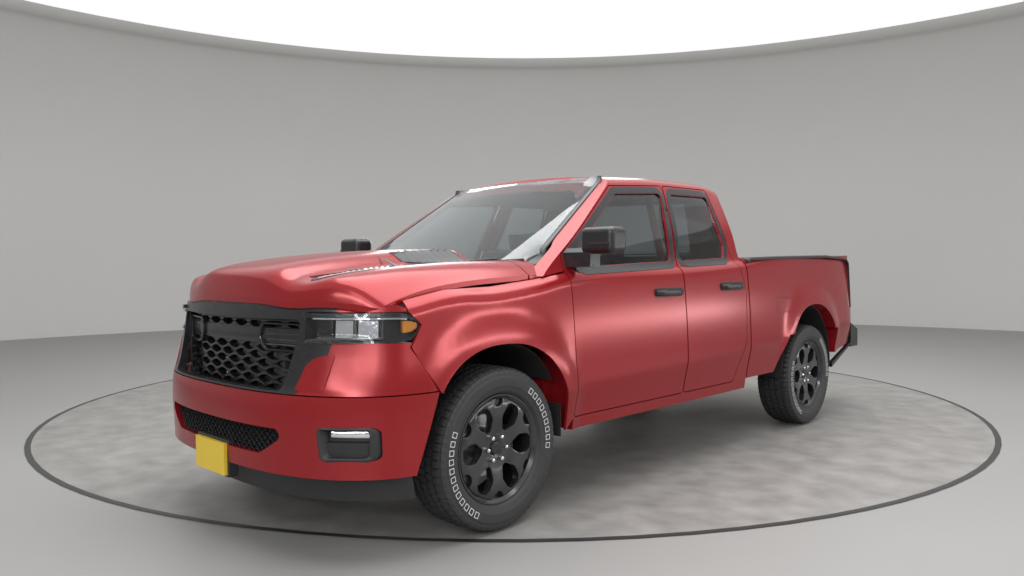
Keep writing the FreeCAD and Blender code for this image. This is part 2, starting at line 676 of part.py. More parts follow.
def add_caliper(body, name, side):
    """A block over the rear edge of the disc with a slot that leaves the disc free."""
    doc.recompute()
    start = "-(disc_in + caliper_gap + caliper_side)"
    width = "disc_thick + 2 * caliper_gap + 2 * caliper_side"
    pad_outline(body, name, "YZ_Plane", caliper_outline(side), width, start)
    doc.recompute()
    slot = new_sketch(body, name + "_slot_sketch", "YZ_Plane",
                      "disc_thick - disc_in + caliper_gap")
    draw_outline(slot, rectangle("0", f"{side} * (caliper_far - caliper_bridge)",
                                 "-caliper_half * 2", "caliper_half * 2"))
    return pocket(body, name + "_slot", slot, "disc_thick + 2 * caliper_gap")


def make_knuckle(label, side):
    """The right one is turned about, so its caliper is drawn on the other side."""
    body = new_body(label)
    start = "-(kingpin_in + knuckle_thick / 2)"
    add_caliper(body, label + "_caliper", side)
    doc.recompute()
    pad_outline(body, label + "_arm", "YZ_Plane",
                rectangle("0", f"{side} * (caliper_near + caliper_side)", "-caliper_half / 2",
                          "caliper_half / 2"), "knuckle_thick", start)
    pad_outline(body, label + "_upright", "YZ_Plane",
                rectangle("-knuckle_width / 2", "knuckle_width / 2",
                          "-joint_low + arm_thick / 2 + seat_gap",
                          "joint_high - arm_thick / 2 - seat_gap"),
                "knuckle_thick", start)
    pad_circle(body, label + "_spindle", "YZ_Plane", ("0", "0"), "spindle_radius",
               "kingpin_in + spoke_back", "-kingpin_in")
    pad_circle(body, label + "_pins", "XY_Plane", ("-kingpin_in", "0"), "pin_radius",
               "joint_low + joint_high + arm_thick", "-joint_low - arm_thick / 2")
    if side < 0:
        body.Placement = Placement(Vector(0, 0, 0), Rotation(UP, 180))
    place(body, f"{side} * track_front / 2", "front_axle", "tyre_radius")
    return keep(label, body)


for side_name, side in (("left", 1), ("right", -1)):
    make_knuckle("knuckle_" + side_name, side)


# Rear axle: a tube with the differential, flanges, spindles and calipers

def make_rear_axle():
    body = new_body("rear_axle")
    revolve(body, "rear_axle_tube", (
        ("-track_rear / 2 - spoke_back", "0"), ("-track_rear / 2 - spoke_back", "spindle_radius"),
        ("-axle_tube_end", "spindle_radius"), ("-axle_tube_end", "axle_tube_radius"),
        ("-diff_width / 2 - diff_radius / 2", "axle_tube_radius"), ("-diff_width / 2", "diff_radius * 0.7"),
        ("-diff_width / 4", "diff_radius"), ("diff_width / 4", "diff_radius"),
        ("diff_width / 2", "diff_radius * 0.7"), ("diff_width / 2 + diff_radius / 2", "axle_tube_radius"),
        ("axle_tube_end", "axle_tube_radius"), ("axle_tube_end", "spindle_radius"),
        ("track_rear / 2 + spoke_back", "spindle_radius"), ("track_rear / 2 + spoke_back", "0")))
    pinion_sketch = new_sketch(body, "rear_axle_pinion_sketch", "XZ_Plane")
    draw_circle(pinion_sketch, "0", "0", "pinion_radius")
    pad(body, "rear_axle_pinion", pinion_sketch, "pinion_length")
    spring_sketch = new_sketch(body, "rear_axle_spring_sketch", "XY_Plane")
    draw_circle(spring_sketch, "coil_place", "0", "coil_radius")
    springs = pad(body, "rear_axle_springs", spring_sketch, "rail_rear_low - tyre_radius")
    body.Tip = springs
    caliper_sketch = new_sketch(body, "rear_axle_caliper_sketch", "YZ_Plane",
                                "track_rear / 2 - disc_in - caliper_gap - caliper_side")
    draw_outline(caliper_sketch, caliper_outline())
    caliper = pad(body, "rear_axle_caliper", caliper_sketch,
                  "disc_thick + 2 * caliper_gap + 2 * caliper_side")
    doc.recompute()
    slot_sketch = new_sketch(body, "rear_axle_slot_sketch", "YZ_Plane",
                             "track_rear / 2 + disc_thick - disc_in + caliper_gap")
    draw_outline(slot_sketch, rectangle("hub_radius + rim_wall", "caliper_far - caliper_bridge",
                                        "-caliper_half * 2", "caliper_half * 2"))
    slot = pocket(body, "rear_axle_slot", slot_sketch, "disc_thick + 2 * caliper_gap")
    doc.recompute()
    plate_sketch = new_sketch(body, "rear_axle_plate_sketch", "YZ_Plane",
                              "track_rear / 2 - disc_in - caliper_gap - caliper_side")
    draw_outline(plate_sketch, rectangle("-axle_tube_radius", "caliper_near + caliper_side",
                                         "-axle_tube_radius", "axle_tube_radius"))
    plate = pad(body, "rear_axle_plate", plate_sketch, "caliper_side / 2")
    mirror(body, "rear_axle_right", [springs, caliper, slot, plate])
    place(body, "0", "rear_axle", "tyre_radius")
    return keep("rear_axle", body)


make_rear_axle()


# Frame: two rails that rise over both axles, seven cross members, body mounts and the receiver

def make_frame():
    body = new_body("chassis_frame")
    rail = pad_outline(body, "frame_rail", "YZ_Plane", (
        ("front_axle - rail_front", "rail_front_low"), ("front_axle + front_kick", "rail_front_low"),
        ("front_axle + front_kick_end", "rail_low"), ("front_axle + rear_kick", "rail_low"),
        ("front_axle + rear_kick_end", "rail_rear_low"), ("front_axle + rail_rear", "rail_rear_low"),
        ("front_axle + rail_rear", "rail_tail_high"),
        ("front_axle + cross_tail - cross_deep / 2", "rail_tail_high"),
        ("front_axle + cross_tail - cross_deep", "rail_rear_high"),
        ("front_axle + rear_kick_end - cross_deep", "rail_rear_high"),
        ("front_axle + rear_kick - cross_deep", "rail_high"),
        ("front_axle + front_kick_end - cross_deep", "rail_high"),
        ("front_axle + front_kick - cross_deep", "rail_front_high"),
        ("front_axle - rail_front", "rail_front_high")),
        "rail_width", "rail_place - rail_width / 2")
    mounts = []
    for name, height in (("cab_mount_front", "rail_high"), ("cab_mount_rear", "rail_high"),
                         ("bed_mount_front", "rail_rear_high"), ("bed_mount_rear", "rail_rear_high")):
        centre = ("rail_place", "front_axle + " + name)
        mounts.append(pad_circle(body, "frame_" + name, "XY_Plane", centre, "mount_radius * 0.8",
                                 "mount_height + cross_high", height + " - cross_high"))
    mirror(body, "frame_right_rail", [rail] + mounts)
    doc.recompute()
    for name, low, high in (("front", "rail_front_low", "rail_front_low + cross_high"),
                            ("engine", "rail_front_low", "rail_front_low + cross_high"),
                            ("gearbox", "rail_low", "rail_low + gearbox_cross_high"),
                            ("mid", "rail_high - cross_high + 2 * gearbox_cross_high / 5", "rail_high"),
                            ("rear", "rail_rear_high - cross_high", "rail_rear_high"),
                            ("tail", "rail_rear_low", "rail_tail_high")):
        sign = "-" if name == "front" else "+"
        centre = f"front_axle {sign} cross_{name}"
        outline = rectangle(centre + " - cross_deep / 2", centre + " + cross_deep / 2", low, high)
        pad_outline(body, "frame_cross_" + name, "YZ_Plane", outline, "2 * rail_place", midplane=True)
    doc.recompute()
    half = "receiver_outer / 2"
    receiver = new_sketch(body, "frame_receiver_sketch", "XZ_Plane", "-(front_axle + receiver_end)")
    draw_outline(receiver, rectangle("-" + half, half, "receiver_axis - " + half,
                                     "receiver_axis + " + half))
    pad(body, "frame_receiver", receiver, "receiver_length")
    hanger = rectangle("front_axle + cross_tail + panel_thick",
                       "front_axle + cross_tail + cross_deep / 2",
                       "receiver_axis + receiver_outer / 2 - flange_plate", "rail_rear_low")
    pad_outline(body, "frame_hanger", "YZ_Plane", hanger, "receiver_outer", midplane=True)
    doc.recompute()
    bore = new_sketch(body, "frame_bore_sketch", "XZ_Plane", "-(front_axle + receiver_end)")
    half = "receiver_bore / 2"
    draw_outline(bore, rectangle("-" + half, half, "receiver_axis - " + half,
                                 "receiver_axis + " + half))
    pocket(body, "frame_bore", bore, "receiver_length", reverse=True)
    return keep("chassis_frame", body)


make_frame()


# Front suspension: cradle, four arms that hold the knuckles' pins, and two struts

def arm(inner, half, kingpin, low, high):
    """A flat arm that narrows from the frame to an eye round the knuckle's pin."""
    near, far = Vector(inner, back(-half), low), Vector(inner, back(half), low)
    start = Vector(kingpin, back(-mm.arm_end_radius), low)
    tip = Vector(kingpin + mm.arm_end_radius, back(0), low)
    end = Vector(kingpin, back(mm.arm_end_radius), low)
    edges = [Part.LineSegment(near, start), Part.Arc(start, tip, end),
             Part.LineSegment(end, far), Part.LineSegment(far, near)]
    outer = Part.Wire([edge.toShape() for edge in edges])
    centre = Vector(kingpin, back(0), low)
    bore = Part.makeCylinder(mm.pin_radius + mm.running_gap, high - low, centre)
    return Part.Face(outer).extrude(UP * (high - low)).cut(bore)


def make_front_suspension():
    kingpin = mm.track_front / 2 - mm.kingpin_in
    low_arm = mm.tyre_radius - mm.joint_low
    high_arm = mm.tyre_radius + mm.joint_high
    half_thick = mm.arm_thick / 2
    half_deep = mm.cradle_deep / 2
    rail_inner = mm.rail_place - mm.rail_width / 2
    rail_outer = mm.rail_place + mm.rail_width / 2
    cradle = box_between((-rail_outer, -half_deep, mm.cradle_low),
                         (rail_outer, half_deep, mm.cradle_high))
    pieces = [cradle]
    for make in (lambda shape: shape, mirrored):
        stand = box_between((rail_inner, -half_deep, mm.cradle_low),
                            (rail_outer, half_deep, mm.rail_front_low))
        lower = arm(mm.arm_root, mm.arm_root_half, kingpin, low_arm - half_thick,
                    low_arm + half_thick)
        strut = Part.makeCylinder(mm.strut_radius, mm.strut_top - low_arm,
                                  Vector(mm.strut_place, back(0), low_arm))
        pieces += [make(stand), make(lower), make(strut)]
    lower_set = joined(pieces)
    uppers = []
    for make in (lambda shape: shape, mirrored):
        upper = arm(rail_outer, mm.upper_arm_root_half, kingpin, high_arm - half_thick,
                    high_arm + half_thick)
        tower = box_between((rail_outer, -half_deep, mm.strut_top - mm.tower_thick),
                            (mm.strut_place + mm.strut_radius + half_thick, half_deep, mm.strut_top))
        wall = box_between((rail_outer, -half_deep, mm.cradle_low),
                           (rail_outer + mm.arm_thick, half_deep, mm.strut_top))
        uppers += [make(upper), make(tower), make(wall)]
    return feature("front_suspension", joined([lower_set] + uppers))


make_front_suspension()


# Engine as one plain block with the gearbox and the shaft, then tank, exhaust and radiator

def make_powertrain():
    engine = box_between((-mm.engine_half, -mm.engine_front, mm.engine_low),
                         (mm.engine_half, mm.engine_rear, mm.engine_high))
    tail = Vector(0, back(mm.gearbox_end), mm.gearbox_axis)
    nose = Vector(0, back(mm.engine_rear), mm.gearbox_axis)
    gearbox = Part.makeCylinder(mm.gearbox_radius, (tail - nose).Length, nose, BACK)
    pinion = Vector(0, REAR_AXLE - mm.pinion_length - mm.shaft_end_gap, mm.tyre_radius)
    start = tail - BACK * mm.shaft_radius
    run = pinion - start
    shaft = Part.makeCylinder(mm.shaft_radius, run.Length - mm.shaft_radius / 4, start, run)
    return feature("powertrain", joined([engine, gearbox, shaft]))


def make_tank():
    body = new_body("fuel_tank")
    pad_outline(body, "tank_block", "YZ_Plane", (
        ("front_axle + tank_front", "tank_low + cross_high"),
        ("front_axle + tank_front + cross_deep", "tank_low"),
        ("front_axle + tank_rear - cross_deep", "tank_low"),
        ("front_axle + tank_rear", "tank_low + cross_high"),
        ("front_axle + tank_rear", "tank_high"), ("front_axle + tank_front", "tank_high")),
        "rail_place - rail_width / 2 - tank_inner", "tank_inner")
    return keep("fuel_tank", body)


def make_exhaust():
    x = -mm.pipe_place
    front = Part.makeCylinder(mm.pipe_radius, mm.muffler_front - mm.pipe_front + mm.pipe_radius,
                              Vector(x, back(mm.pipe_front), mm.pipe_axis), BACK)
    muffler = Part.makeCylinder(mm.muffler_radius, mm.muffler_rear - mm.muffler_front,
                                Vector(x, back(mm.muffler_front), mm.pipe_axis - mm.pipe_radius),
                                BACK)
    stops = [Vector(x, back(mm.muffler_rear), mm.pipe_axis),
             Vector(x, back(mm.wheelbase), mm.pipe_axis),
             Vector(-mm.tail_pipe_place, back(mm.pipe_turn), mm.pipe_axis),
             Vector(-mm.tail_pipe_place, back(mm.tail_pipe_end), mm.pipe_axis)]
    runs = []
    for start, end in zip(stops, stops[1:]):
        runs.append(Part.makeCylinder(mm.pipe_radius, (end - start).Length, start, end - start))
        runs.append(Part.makeSphere(mm.pipe_radius, start))
    return feature("exhaust", joined([front, muffler] + runs[:1] + runs[2:]))


def make_radiator():
    shape = box_between((-mm.radiator_half, -mm.radiator_front, mm.rail_front_low + mm.cross_high),
                        (mm.radiator_half, -mm.radiator_rear, mm.radiator_high))
    return feature("radiator", shape)


make_powertrain()
make_tank()
make_exhaust()
make_radiator()


# Spare wheel, flat under the tail of the bed, hung on a post from the cross member

def make_spare():
    body = new_body("spare_wheel")
    revolve(body, "spare_ring", (
        ("spare_hub", "-spare_width / 4"), ("rim_radius", "-spare_width / 2"),
        ("spare_radius", "-spare_width / 3"), ("spare_radius", "spare_width / 3"),
        ("rim_radius", "spare_width / 2"), ("spare_hub", "spare_width / 4"),
        ("0", "spare_width / 4"), ("0", "0"), ("spare_hub", "0")), "XZ_Plane", "V_Axis")
    pad_circle(body, "spare_post", "XY_Plane", ("0", "0"), "spare_post",
               "rail_rear_high - cross_high - spare_axis")
    place(body, "0", "front_axle + spare_place", "spare_axis")
    return keep("spare_wheel", body)


make_spare()


# Front fenders, with the wheel arch cut out

def nose_depth(height):
    """Depth and half width of the nose's plan at a height."""
    depth = along(((mm.bumper_low, mm.bumper_nose), (mm.bumper_high, mm.bumper_nose),
                   (mm.bumper_high + mm.surround_top_band, mm.nose_mid),
                   (mm.nose_top_high, mm.nose_top)), height)
    half = along(((mm.bumper_low, mm.bumper_half), (mm.bumper_high, mm.bumper_half),
                  (mm.bumper_high + mm.surround_top_band, mm.nose_mid_half),
                  (mm.lamp_low_outer, mm.nose_high_half), (mm.nose_top_high, mm.nose_top_half)),
                 height)
    return depth, half


def nose_point(share, height, inset=0.0):
    """A point of the nose in plan: share 0 is the middle, 1 is where it meets the side."""
    depth, half = nose_depth(height)
    forward = max(1 - share ** NOSE_POWER_SHARE, 0.0) ** (1 / NOSE_POWER_SHARE)
    y = -mm.nose_axis - (depth - inset) * forward
    return Vector((half - inset) * share, back(y), height)


def nose_wall(low, high, thick, inset=0.0, rows=7):
    """The whole nose between two heights, as a wall of a given thickness."""
    heights = spread(low, high, rows)
    grids = []
    for extra in (inset, inset + thick):
        left = [[nose_point(share, height, extra) for height in heights]
                for share in WRAP_STEP_SHARES]
        right = [[Vector(-point.x, point.y, point.z) for point in row] for row in left[:0:-1]]
        grids.append(right + left)
    return between_faces(*grids)


def nose_seam(gap):
    """Side view of the seam from the bumper up past the lamp, as (distance, height) pairs."""
    return ((-mm.bumper_rear_high + gap, mm.bumper_high), (-mm.lamp_toe + gap, mm.lamp_low_outer),
            (-mm.lamp_back + gap, mm.lamp_back_high), (-mm.lamp_toe + gap, mm.lamp_high),
            (-mm.lamp_toe + gap, mm.nose_top_high))


def make_fenders():
    skin = side_slab(-mm.fender_tip, mm.door_front, mm.panel_thick)
    outline = through_side(nose_seam(mm.shut_gap / 2) + (
        (-mm.cowl_place, mm.fender_mid_high - mm.panel_thick / 2), (0.0, mm.fender_mid_high),
        (mm.hood_rear, mm.cowl_side_high),
        (mm.door_front - mm.shut_gap, mm.belt_front_high - mm.shut_gap),
        (mm.door_front - mm.shut_gap, mm.door_low), (mm.firewall, mm.sill_low),
        (0.0, mm.sill_low)))
    left = skin.common(outline).cut(arch_cutter(*FRONT_ARCH, 0.0))
    return feature("front_fenders", Part.makeCompound([left, mirrored(left)]))


make_fenders()


# Hood: a dome down the middle, a valley and a ridge on each side, then the roll to the fender

HOOD_COLUMNS = (
    # share of the half width, share of the dome over the ridge, share of the ridge over the edge
    (0.0, 1.0, 1.0), (0.13, 1.0, 1.0), (0.25, 0.97, 1.0), (0.34, 0.88, 1.0), (0.4, 0.6, 1.0),
    (0.45, 0.24, 0.98), (0.5, 0.0, 0.93), (0.57, 0.0, 0.88), (0.64, 0.0, 0.9), (0.71, 0.0, 1.0),
    (0.78, 0.0, 1.02), (0.85, 0.0, 0.92), (0.91, 0.0, 0.66), (0.955, 0.0, 0.3), (1.0, 0.0, 0.0),
    (1.04, 0.0, -0.2))
HOOD_ROW_SHARES = (0.0, 0.003, 0.012, 0.03, 0.065, 0.12, 0.2, 0.32, 0.45, 0.6, 0.75, 0.88, 1.0, 1.12, 1.24)
HOOD_RISE_SHARES = (0.0, 0.2, 0.4, 0.52, 0.6, 0.67, 0.74, 0.82, 0.88, 0.94, 0.98, 0.995, 1.0, 1.02, 1.05)


def hood_point(column, row_share, rise_share, drop):
    width_share, dome_share, ridge_share = column
    x = mm.hood_half * width_share
    forward = max(1 - (x / mm.nose_top_half) ** NOSE_POWER_SHARE, 0.0) ** (1 / NOSE_POWER_SHARE)
    start = -mm.nose_axis - mm.nose_top * forward + mm.shut_gap
    y = mix(start, mm.hood_rear, row_share)
    dome = mix(mm.hood_dome_front_high, mm.hood_dome_rear_high, rise_share)
    ridge = mix(mm.hood_ridge_front_high, mm.hood_ridge_rear_high, rise_share)
    edge = along(((start, mm.hood_edge_front_high), (-mm.vent_front, mm.hood_edge_mid_high),
                  (-mm.lamp_toe, mm.fender_tip_high), (-mm.cowl_place, mm.fender_mid_high),
                  (mm.hood_rear, mm.hood_edge_rear_high)), y) if start < -mm.vent_front else along((
                      (start, mm.hood_edge_mid_high), (-mm.lamp_toe, mm.fender_tip_high),
                      (-mm.cowl_place, mm.fender_mid_high),
                      (mm.hood_rear, mm.hood_edge_rear_high)), y)
    z = edge + (ridge - edge) * ridge_share + (dome - ridge) * dome_share
    return Vector(x, back(y), z - drop)


def hood_grid(drop=0.0, ahead=False):
    """Points of the hood, lowered by a drop; ahead sets them back and adds rows in front."""
    columns = [(-share, dome, ridge) for share, dome, ridge in reversed(HOOD_COLUMNS[1:])]
    grid = []
    for column in columns + list(HOOD_COLUMNS):
        row = []
        for row_share, rise_share in zip(HOOD_ROW_SHARES, HOOD_RISE_SHARES):
            point = hood_point((abs(column[0]), column[1], column[2]), row_share, rise_share, drop)
            row.append(Vector(math.copysign(point.x, column[0]), point.y, point.z))
        if ahead:
            row = [point + BACK * mm.shut_gap for point in row]
            row = [row[0] - BACK * 4 * mm.shut_gap, row[0] - BACK * 2 * mm.shut_gap] + row
        grid.append(row)
    return grid


def over_hood(gap, ahead=False):
    """The space of the hood and above it, a gap larger below."""
    return between_faces(hood_grid(-mm.overrun, ahead), hood_grid(mm.hood_thick + gap, ahead),
                         face_over)


def make_hood():
    skin = between_faces(hood_grid(), hood_grid(mm.hood_thick), face_over)
    near = mm.fender_top_half - mm.panel_thick - mm.shut_gap
    trim = Part.makeBox(2 * near, mm.overall_length, mm.far_side,
                        Vector(-near, -mm.overall_length / 2, mm.hood_edge_front_high - mm.overrun))
    rear = back(mm.hood_rear)
    behind = Part.makeBox(2 * mm.far_side, mm.overall_length, 2 * mm.far_side,
                          Vector(-mm.far_side, rear, 0))
    hood = skin.common(trim).cut(behind)
    inserts = between_faces(hood_grid(mm.vent_sunk), hood_grid(mm.hood_thick - mm.vent_sunk),
                            face_over)
    openings = []
    plates = []
    for outline in (VALLEY_VENT, SCOOP):
        for side in (1, -1):
            openings.append(vent_prism(outline, side, 0.0))
            plates.append(inserts.common(vent_prism(outline, side, -mm.seat_gap)))
    feature("hood_vents", Part.makeCompound(plates))
    return feature("hood", hood.cut(openings))


def vent_prism(outline, side, grow):
    """An upright prism of a plan outline of (x, distance) pairs, on one side of the hood."""
    points = [Vector(side * x, back(distance), 0) for x, distance in outline]
    wire = rounded(points, mm.vent_corner)
    face = Part.Face(wire.makeOffset2D(grow) if grow else wire)
    return face.extrude(UP * 2 * mm.far_side)


VALLEY_VENT = ((mm.vent_place - mm.vent_half, -mm.vent_front), (mm.vent_place, -mm.vent_front),
               (mm.vent_place + mm.vent_half, -mm.vent_rear), (mm.vent_place, -mm.vent_rear))
SCOOP = ((mm.scoop_in, -mm.scoop_front), (mm.scoop_out, -mm.scoop_front),
         (mm.scoop_out, mm.scoop_rear), (mm.scoop_in + mm.vent_half, mm.scoop_rear))


make_hood()


# Nose: bumper, painted band under the lamps, lamps, grille and its surround

def plate_holes():
    """Holes of the plate's four screws, through the holder and the bumper behind it."""
    middle = (mm.plate_low + mm.plate_high) / 2
    deep = mm.front_overhang - mm.nose_axis - mm.bumper_nose + 2 * mm.wrap_thick
    return [Part.makeCylinder(mm.plate_hole_radius, deep,
                              Vector(side * mm.plate_hole_across / 2, back(-mm.front_overhang),
                                     middle + rise * mm.plate_hole_up / 2), BACK)
            for side in (-1, 1) for rise in (-1, 1)]


def make_front_bumper():
    whole = nose_wall(mm.bumper_low, mm.bumper_high, mm.wrap_thick)
    rear_cut = through_side((
        (-mm.bumper_rear_low, mm.bumper_low - mm.overrun), (-mm.bumper_rear_low, mm.bumper_low),
        (-mm.bumper_rear_high, mm.bumper_high), (-mm.bumper_rear_high, mm.bumper_high + mm.overrun),
        (mm.overrun, mm.bumper_high + mm.overrun), (mm.overrun, mm.bumper_low - mm.overrun)),
        near=-mm.far_side)
    intake = front_prism(((-mm.intake_half, mm.intake_low), (mm.intake_half, mm.intake_low),
                          (mm.intake_top_half, mm.intake_high), (-mm.intake_top_half, mm.intake_high)),
                         -mm.front_overhang - mm.overrun, -mm.nose_axis, mm.window_corner)
    whole = whole.cut([rear_cut, intake])
    for flip in (1, -1):
        fog = front_prism(((flip * mm.fog_inner, mm.fog_low), (flip * mm.fog_outer, mm.fog_low),
                           (flip * mm.fog_outer, mm.fog_high), (flip * mm.fog_inner, mm.fog_high)),
                          -mm.front_overhang - mm.overrun, -mm.nose_axis, mm.window_corner)
        whole = whole.cut(fog)
    bracket = box_between((mm.rail_place - mm.rail_width / 2, -mm.bumper_bracket_front,
                           mm.bumper_bracket_low),
                          (mm.rail_place + mm.rail_width / 2, -mm.rail_front,
                           mm.bumper_bracket_high))
    return feature("front_bumper", whole.fuse([bracket, mirrored(bracket)]).cut(plate_holes()))


def nose_beam():
    """The beam behind the grille, with a flat land that the surround is let on to."""
    land = box_between((-mm.beam_land_half, -mm.beam_front, mm.beam_low),
                       (mm.beam_land_half, -mm.beam_mid, mm.beam_high))
    return land.fuse(box_between((-mm.beam_half, -mm.beam_mid, mm.beam_low),
                                 (mm.beam_half, -mm.beam_rear, mm.beam_high)))


def make_nose_support():
    """Two posts on the rails that hold the beam, and two stops under the hood."""
    beam = nose_beam()
    post = box_between((mm.rail_place - mm.rail_width / 2, -mm.rail_front, mm.rail_front_high),
                       (mm.rail_place + mm.rail_width / 2, -mm.beam_rear, mm.beam_low))
    stop = Part.makeCylinder(mm.mount_radius / 2, 2 * mm.cross_deep,
                             Vector(mm.rail_place, back(-(mm.beam_rear + mm.beam_mid) / 2),
                                    mm.beam_high))
    stop = stop.cut(over_hood(mm.seat_gap))
    return feature("nose_support", joined([beam, post, mirrored(post), stop, mirrored(stop)]))


def make_nose():
    """The painted panels between bumper and lamps, the lamps, and the surround of the grille."""
    wall = nose_wall(mm.bumper_high + mm.shut_gap, mm.nose_top_high, mm.wrap_thick)
    make_nose_support()
    wall = wall.cut([over_hood(mm.shut_gap, True), nose_beam()])
    start = -mm.front_overhang - mm.overrun
    wall = wall.cut(through_side(nose_seam(-mm.shut_gap / 2) + (
        (mm.overrun, mm.nose_top_high), (mm.overrun, 0.0), (-mm.bumper_rear_high, 0.0)),
        near=-mm.far_side))
    far_corner = mm.bumper_half + mm.overrun
    lamp_prism = front_prism((
        (mm.lamp_inner, mm.lamp_low_inner), (far_corner, mm.lamp_low_outer),
        (far_corner, mm.lamp_high), (mm.lamp_inner, mm.lamp_high)), start, 0.0)
    edge = ((mm.surround_low_half, 0.0), (mm.surround_low_half, mm.bumper_high),
            (mm.surround_mid_half, mm.surround_mid_high), (mm.surround_top_half, mm.lamp_low_inner),
            (mm.surround_top_half, mm.far_side))
    outside = front_prism(edge + ((far_corner, mm.far_side), (far_corner, 0.0)), start, 0.0)
    lamp = wall.common(lamp_prism)
    painted = wall.common(outside).cut(lamp_prism)
    middle = front_prism(edge + tuple((-x, z) for x, z in reversed(edge)), start, 0.0)
    opening = front_prism((
        (-mm.grille_half_low, mm.grille_low + mm.surround_band),
        (mm.grille_half_low, mm.grille_low + mm.surround_band),
        (mm.grille_half_top, mm.grille_high), (-mm.grille_half_top, mm.grille_high)),
        start, 0.0, mm.window_corner)
    feature("headlamps", Part.makeCompound([lamp, mirrored(lamp)]))
    feature("nose_panels", Part.makeCompound([painted, mirrored(painted)]))
    feature("grille_surround", wall.common(middle).cut([opening, lamp_prism, mirrored(lamp_prism)]))
    mesh_wall = nose_wall(mm.bumper_high + mm.shut_gap, mm.nose_top_high, mm.grille_thick,
                          mm.wrap_thick / 2)
    grille = mesh_wall.common(opening)
    cells = []
    rows = int((mm.grille_high - mm.grille_low) / mm.grille_row)
    columns = int(mm.grille_half_top / mm.grille_pitch)
    for row in range(rows):
        high = mm.grille_low + mm.surround_band + mm.grille_row * (row + 0.5)
        for column in range(-columns, columns + 1):
            x = mm.grille_pitch * (column + 0.5 * (row % 2))
            half_wide = (mm.grille_pitch - mm.grille_bar) / 2
            half_high = (mm.grille_row - mm.grille_bar) / 2
            cells.append(front_prism((
                (x - half_wide, high), (x - half_wide / 2, high - half_high),
                (x + half_wide / 2, high - half_high), (x + half_wide, high),
                (x + half_wide / 2, high + half_high), (x - half_wide / 2, high + half_high)),
                -mm.front_overhang - mm.overrun, 0.0))
    grille = grille.cut(cells)
    feature("grille", max(grille.Solids, key=lambda solid: solid.Volume))


make_front_bumper()
make_nose()


def make_air_dam():
    whole = nose_wall(mm.dam_low, mm.bumper_low, mm.panel_thick, mm.wrap_thick / 2)
    cut = through_side(((-mm.dam_deep, 0.0), (-mm.dam_deep, mm.far_side), (mm.overrun, mm.far_side),
                        (mm.overrun, 0.0)), near=-mm.far_side)
    return feature("air_dam", whole.cut(cut))


make_air_dam()


def make_lower_grille():
    low = mm.intake_low - mm.panel_thick
    high = mm.intake_high + mm.panel_thick
    whole = nose_wall(low, high, mm.grille_bar, mm.wrap_thick + mm.seat_gap)
    window = front_prism(((-mm.fog_outer, low), (mm.fog_outer, low), (mm.fog_outer, high),
                          (-mm.fog_outer, high)), -mm.front_overhang - mm.overrun, -mm.nose_axis)
    return feature("lower_grille", whole.common(window))


make_lower_grille()


def make_plate():
    """The front plate on its holder, drilled for four screws."""
    y = back(-mm.front_overhang)
    thick = mm.front_overhang - mm.nose_axis - mm.bumper_nose - mm.seat_gap
    holder = Part.makeBox(2 * mm.plate_half, thick, mm.plate_high - mm.plate_low,
                          Vector(-mm.plate_half, y, mm.plate_low))
    return feature("plate_holder", holder.cut(plate_holes() + [nodes["front_bumper"].Shape]))


make_plate()


# Cab: an arch of roof and sides, cut open for doors and windows, on a floor with sills

SECTION_SHARES = (
    # share from belt to rail, then share of the rail's half width with share of the drop
    (0.0, None), (0.33, None), (0.67, None), (1.0, None),
    (0.965, 0.62), (0.88, 0.34), (0.7, 0.17), (0.45, 0.065), (0.22, 0.015), (0.0, 0.0))
SIDE_BOW_SHARE = 0.012
ROOF_LINE_SHARES = ((0.0, 1.6), (0.33, 1.0), (0.5, 0.45), (0.68, 0.12), (0.85, 0.0), (0.96, 0.12),
                    (1.0, 0.5))


def roof_line(distance):
    share = (distance - mm.door_front) / (mm.cab_rear - mm.door_front)
    return mm.roof_high - along(ROOF_LINE_SHARES, share) * (mm.roof_high - mm.header_high)


def cab_section(distance, inset):
    """Half of the cab's cross section, from below the belt up to the middle of the roof."""
    roof = roof_line(distance)
    belt = top_high(max(distance, mm.door_front))
    rail_high = roof - mm.rail_drop
    rail = mm.rail_half
    points = []
    for side_share, drop_share in SECTION_SHARES:
        if drop_share is None:
            x = mix(mm.belt_half, rail, side_share)
            x += mm.belt_half * SIDE_BOW_SHARE * math.sin(math.pi * side_share)
            points.append((x - inset, mix(belt, rail_high, side_share)))
        else:
            points.append(((rail - inset) * side_share, roof - mm.rail_drop * drop_share - inset))
    low_x = points[0][0] + (points[0][0] - points[1][0]) * 0.3
    low_z = points[0][1] - (points[1][1] - points[0][1]) * 0.3
    return [(low_x, low_z)] + points


def cab_grid(first, last, inset, count=9):
    grid = []
    for distance in spread(first, last, count):
        half = [Vector(x, back(distance), z) for x, z in cab_section(distance, inset)]
        other = [Vector(-point.x, point.y, point.z) for point in reversed(half[:-1])]
        grid.append(half + other)
    return grid


def cab_arch(first, last, inset, thick):
    return between_faces(cab_grid(first, last, inset), cab_grid(first, last, inset + thick))


def screen_slope():
    rise = mm.header_high - mm.screen_foot_high
    return (mm.pillar_top + mm.glass_in - mm.screen_foot) / rise


def screen_deep(thick):
    """Length along Y of a thickness of the raked glass."""
    return thick * math.hypot(1.0, screen_slope())


def screen_point(x, height, behind=0.0):
    bow = mm.screen_bow * (x / mm.rail_half) ** 2
    distance = mm.screen_foot + bow + (height - mm.screen_foot_high) * screen_slope() + behind
    return Vector(x, back(distance), height)


def screen_grid(behind=0.0):
    low = mm.screen_foot_high - mm.overrun / 4
    high = mm.roof_high + mm.overrun / 2
    return [[screen_point(x, z, behind) for z in spread(low, high, 5)]
            for x in spread(-mm.far_side, mm.far_side, 13)]


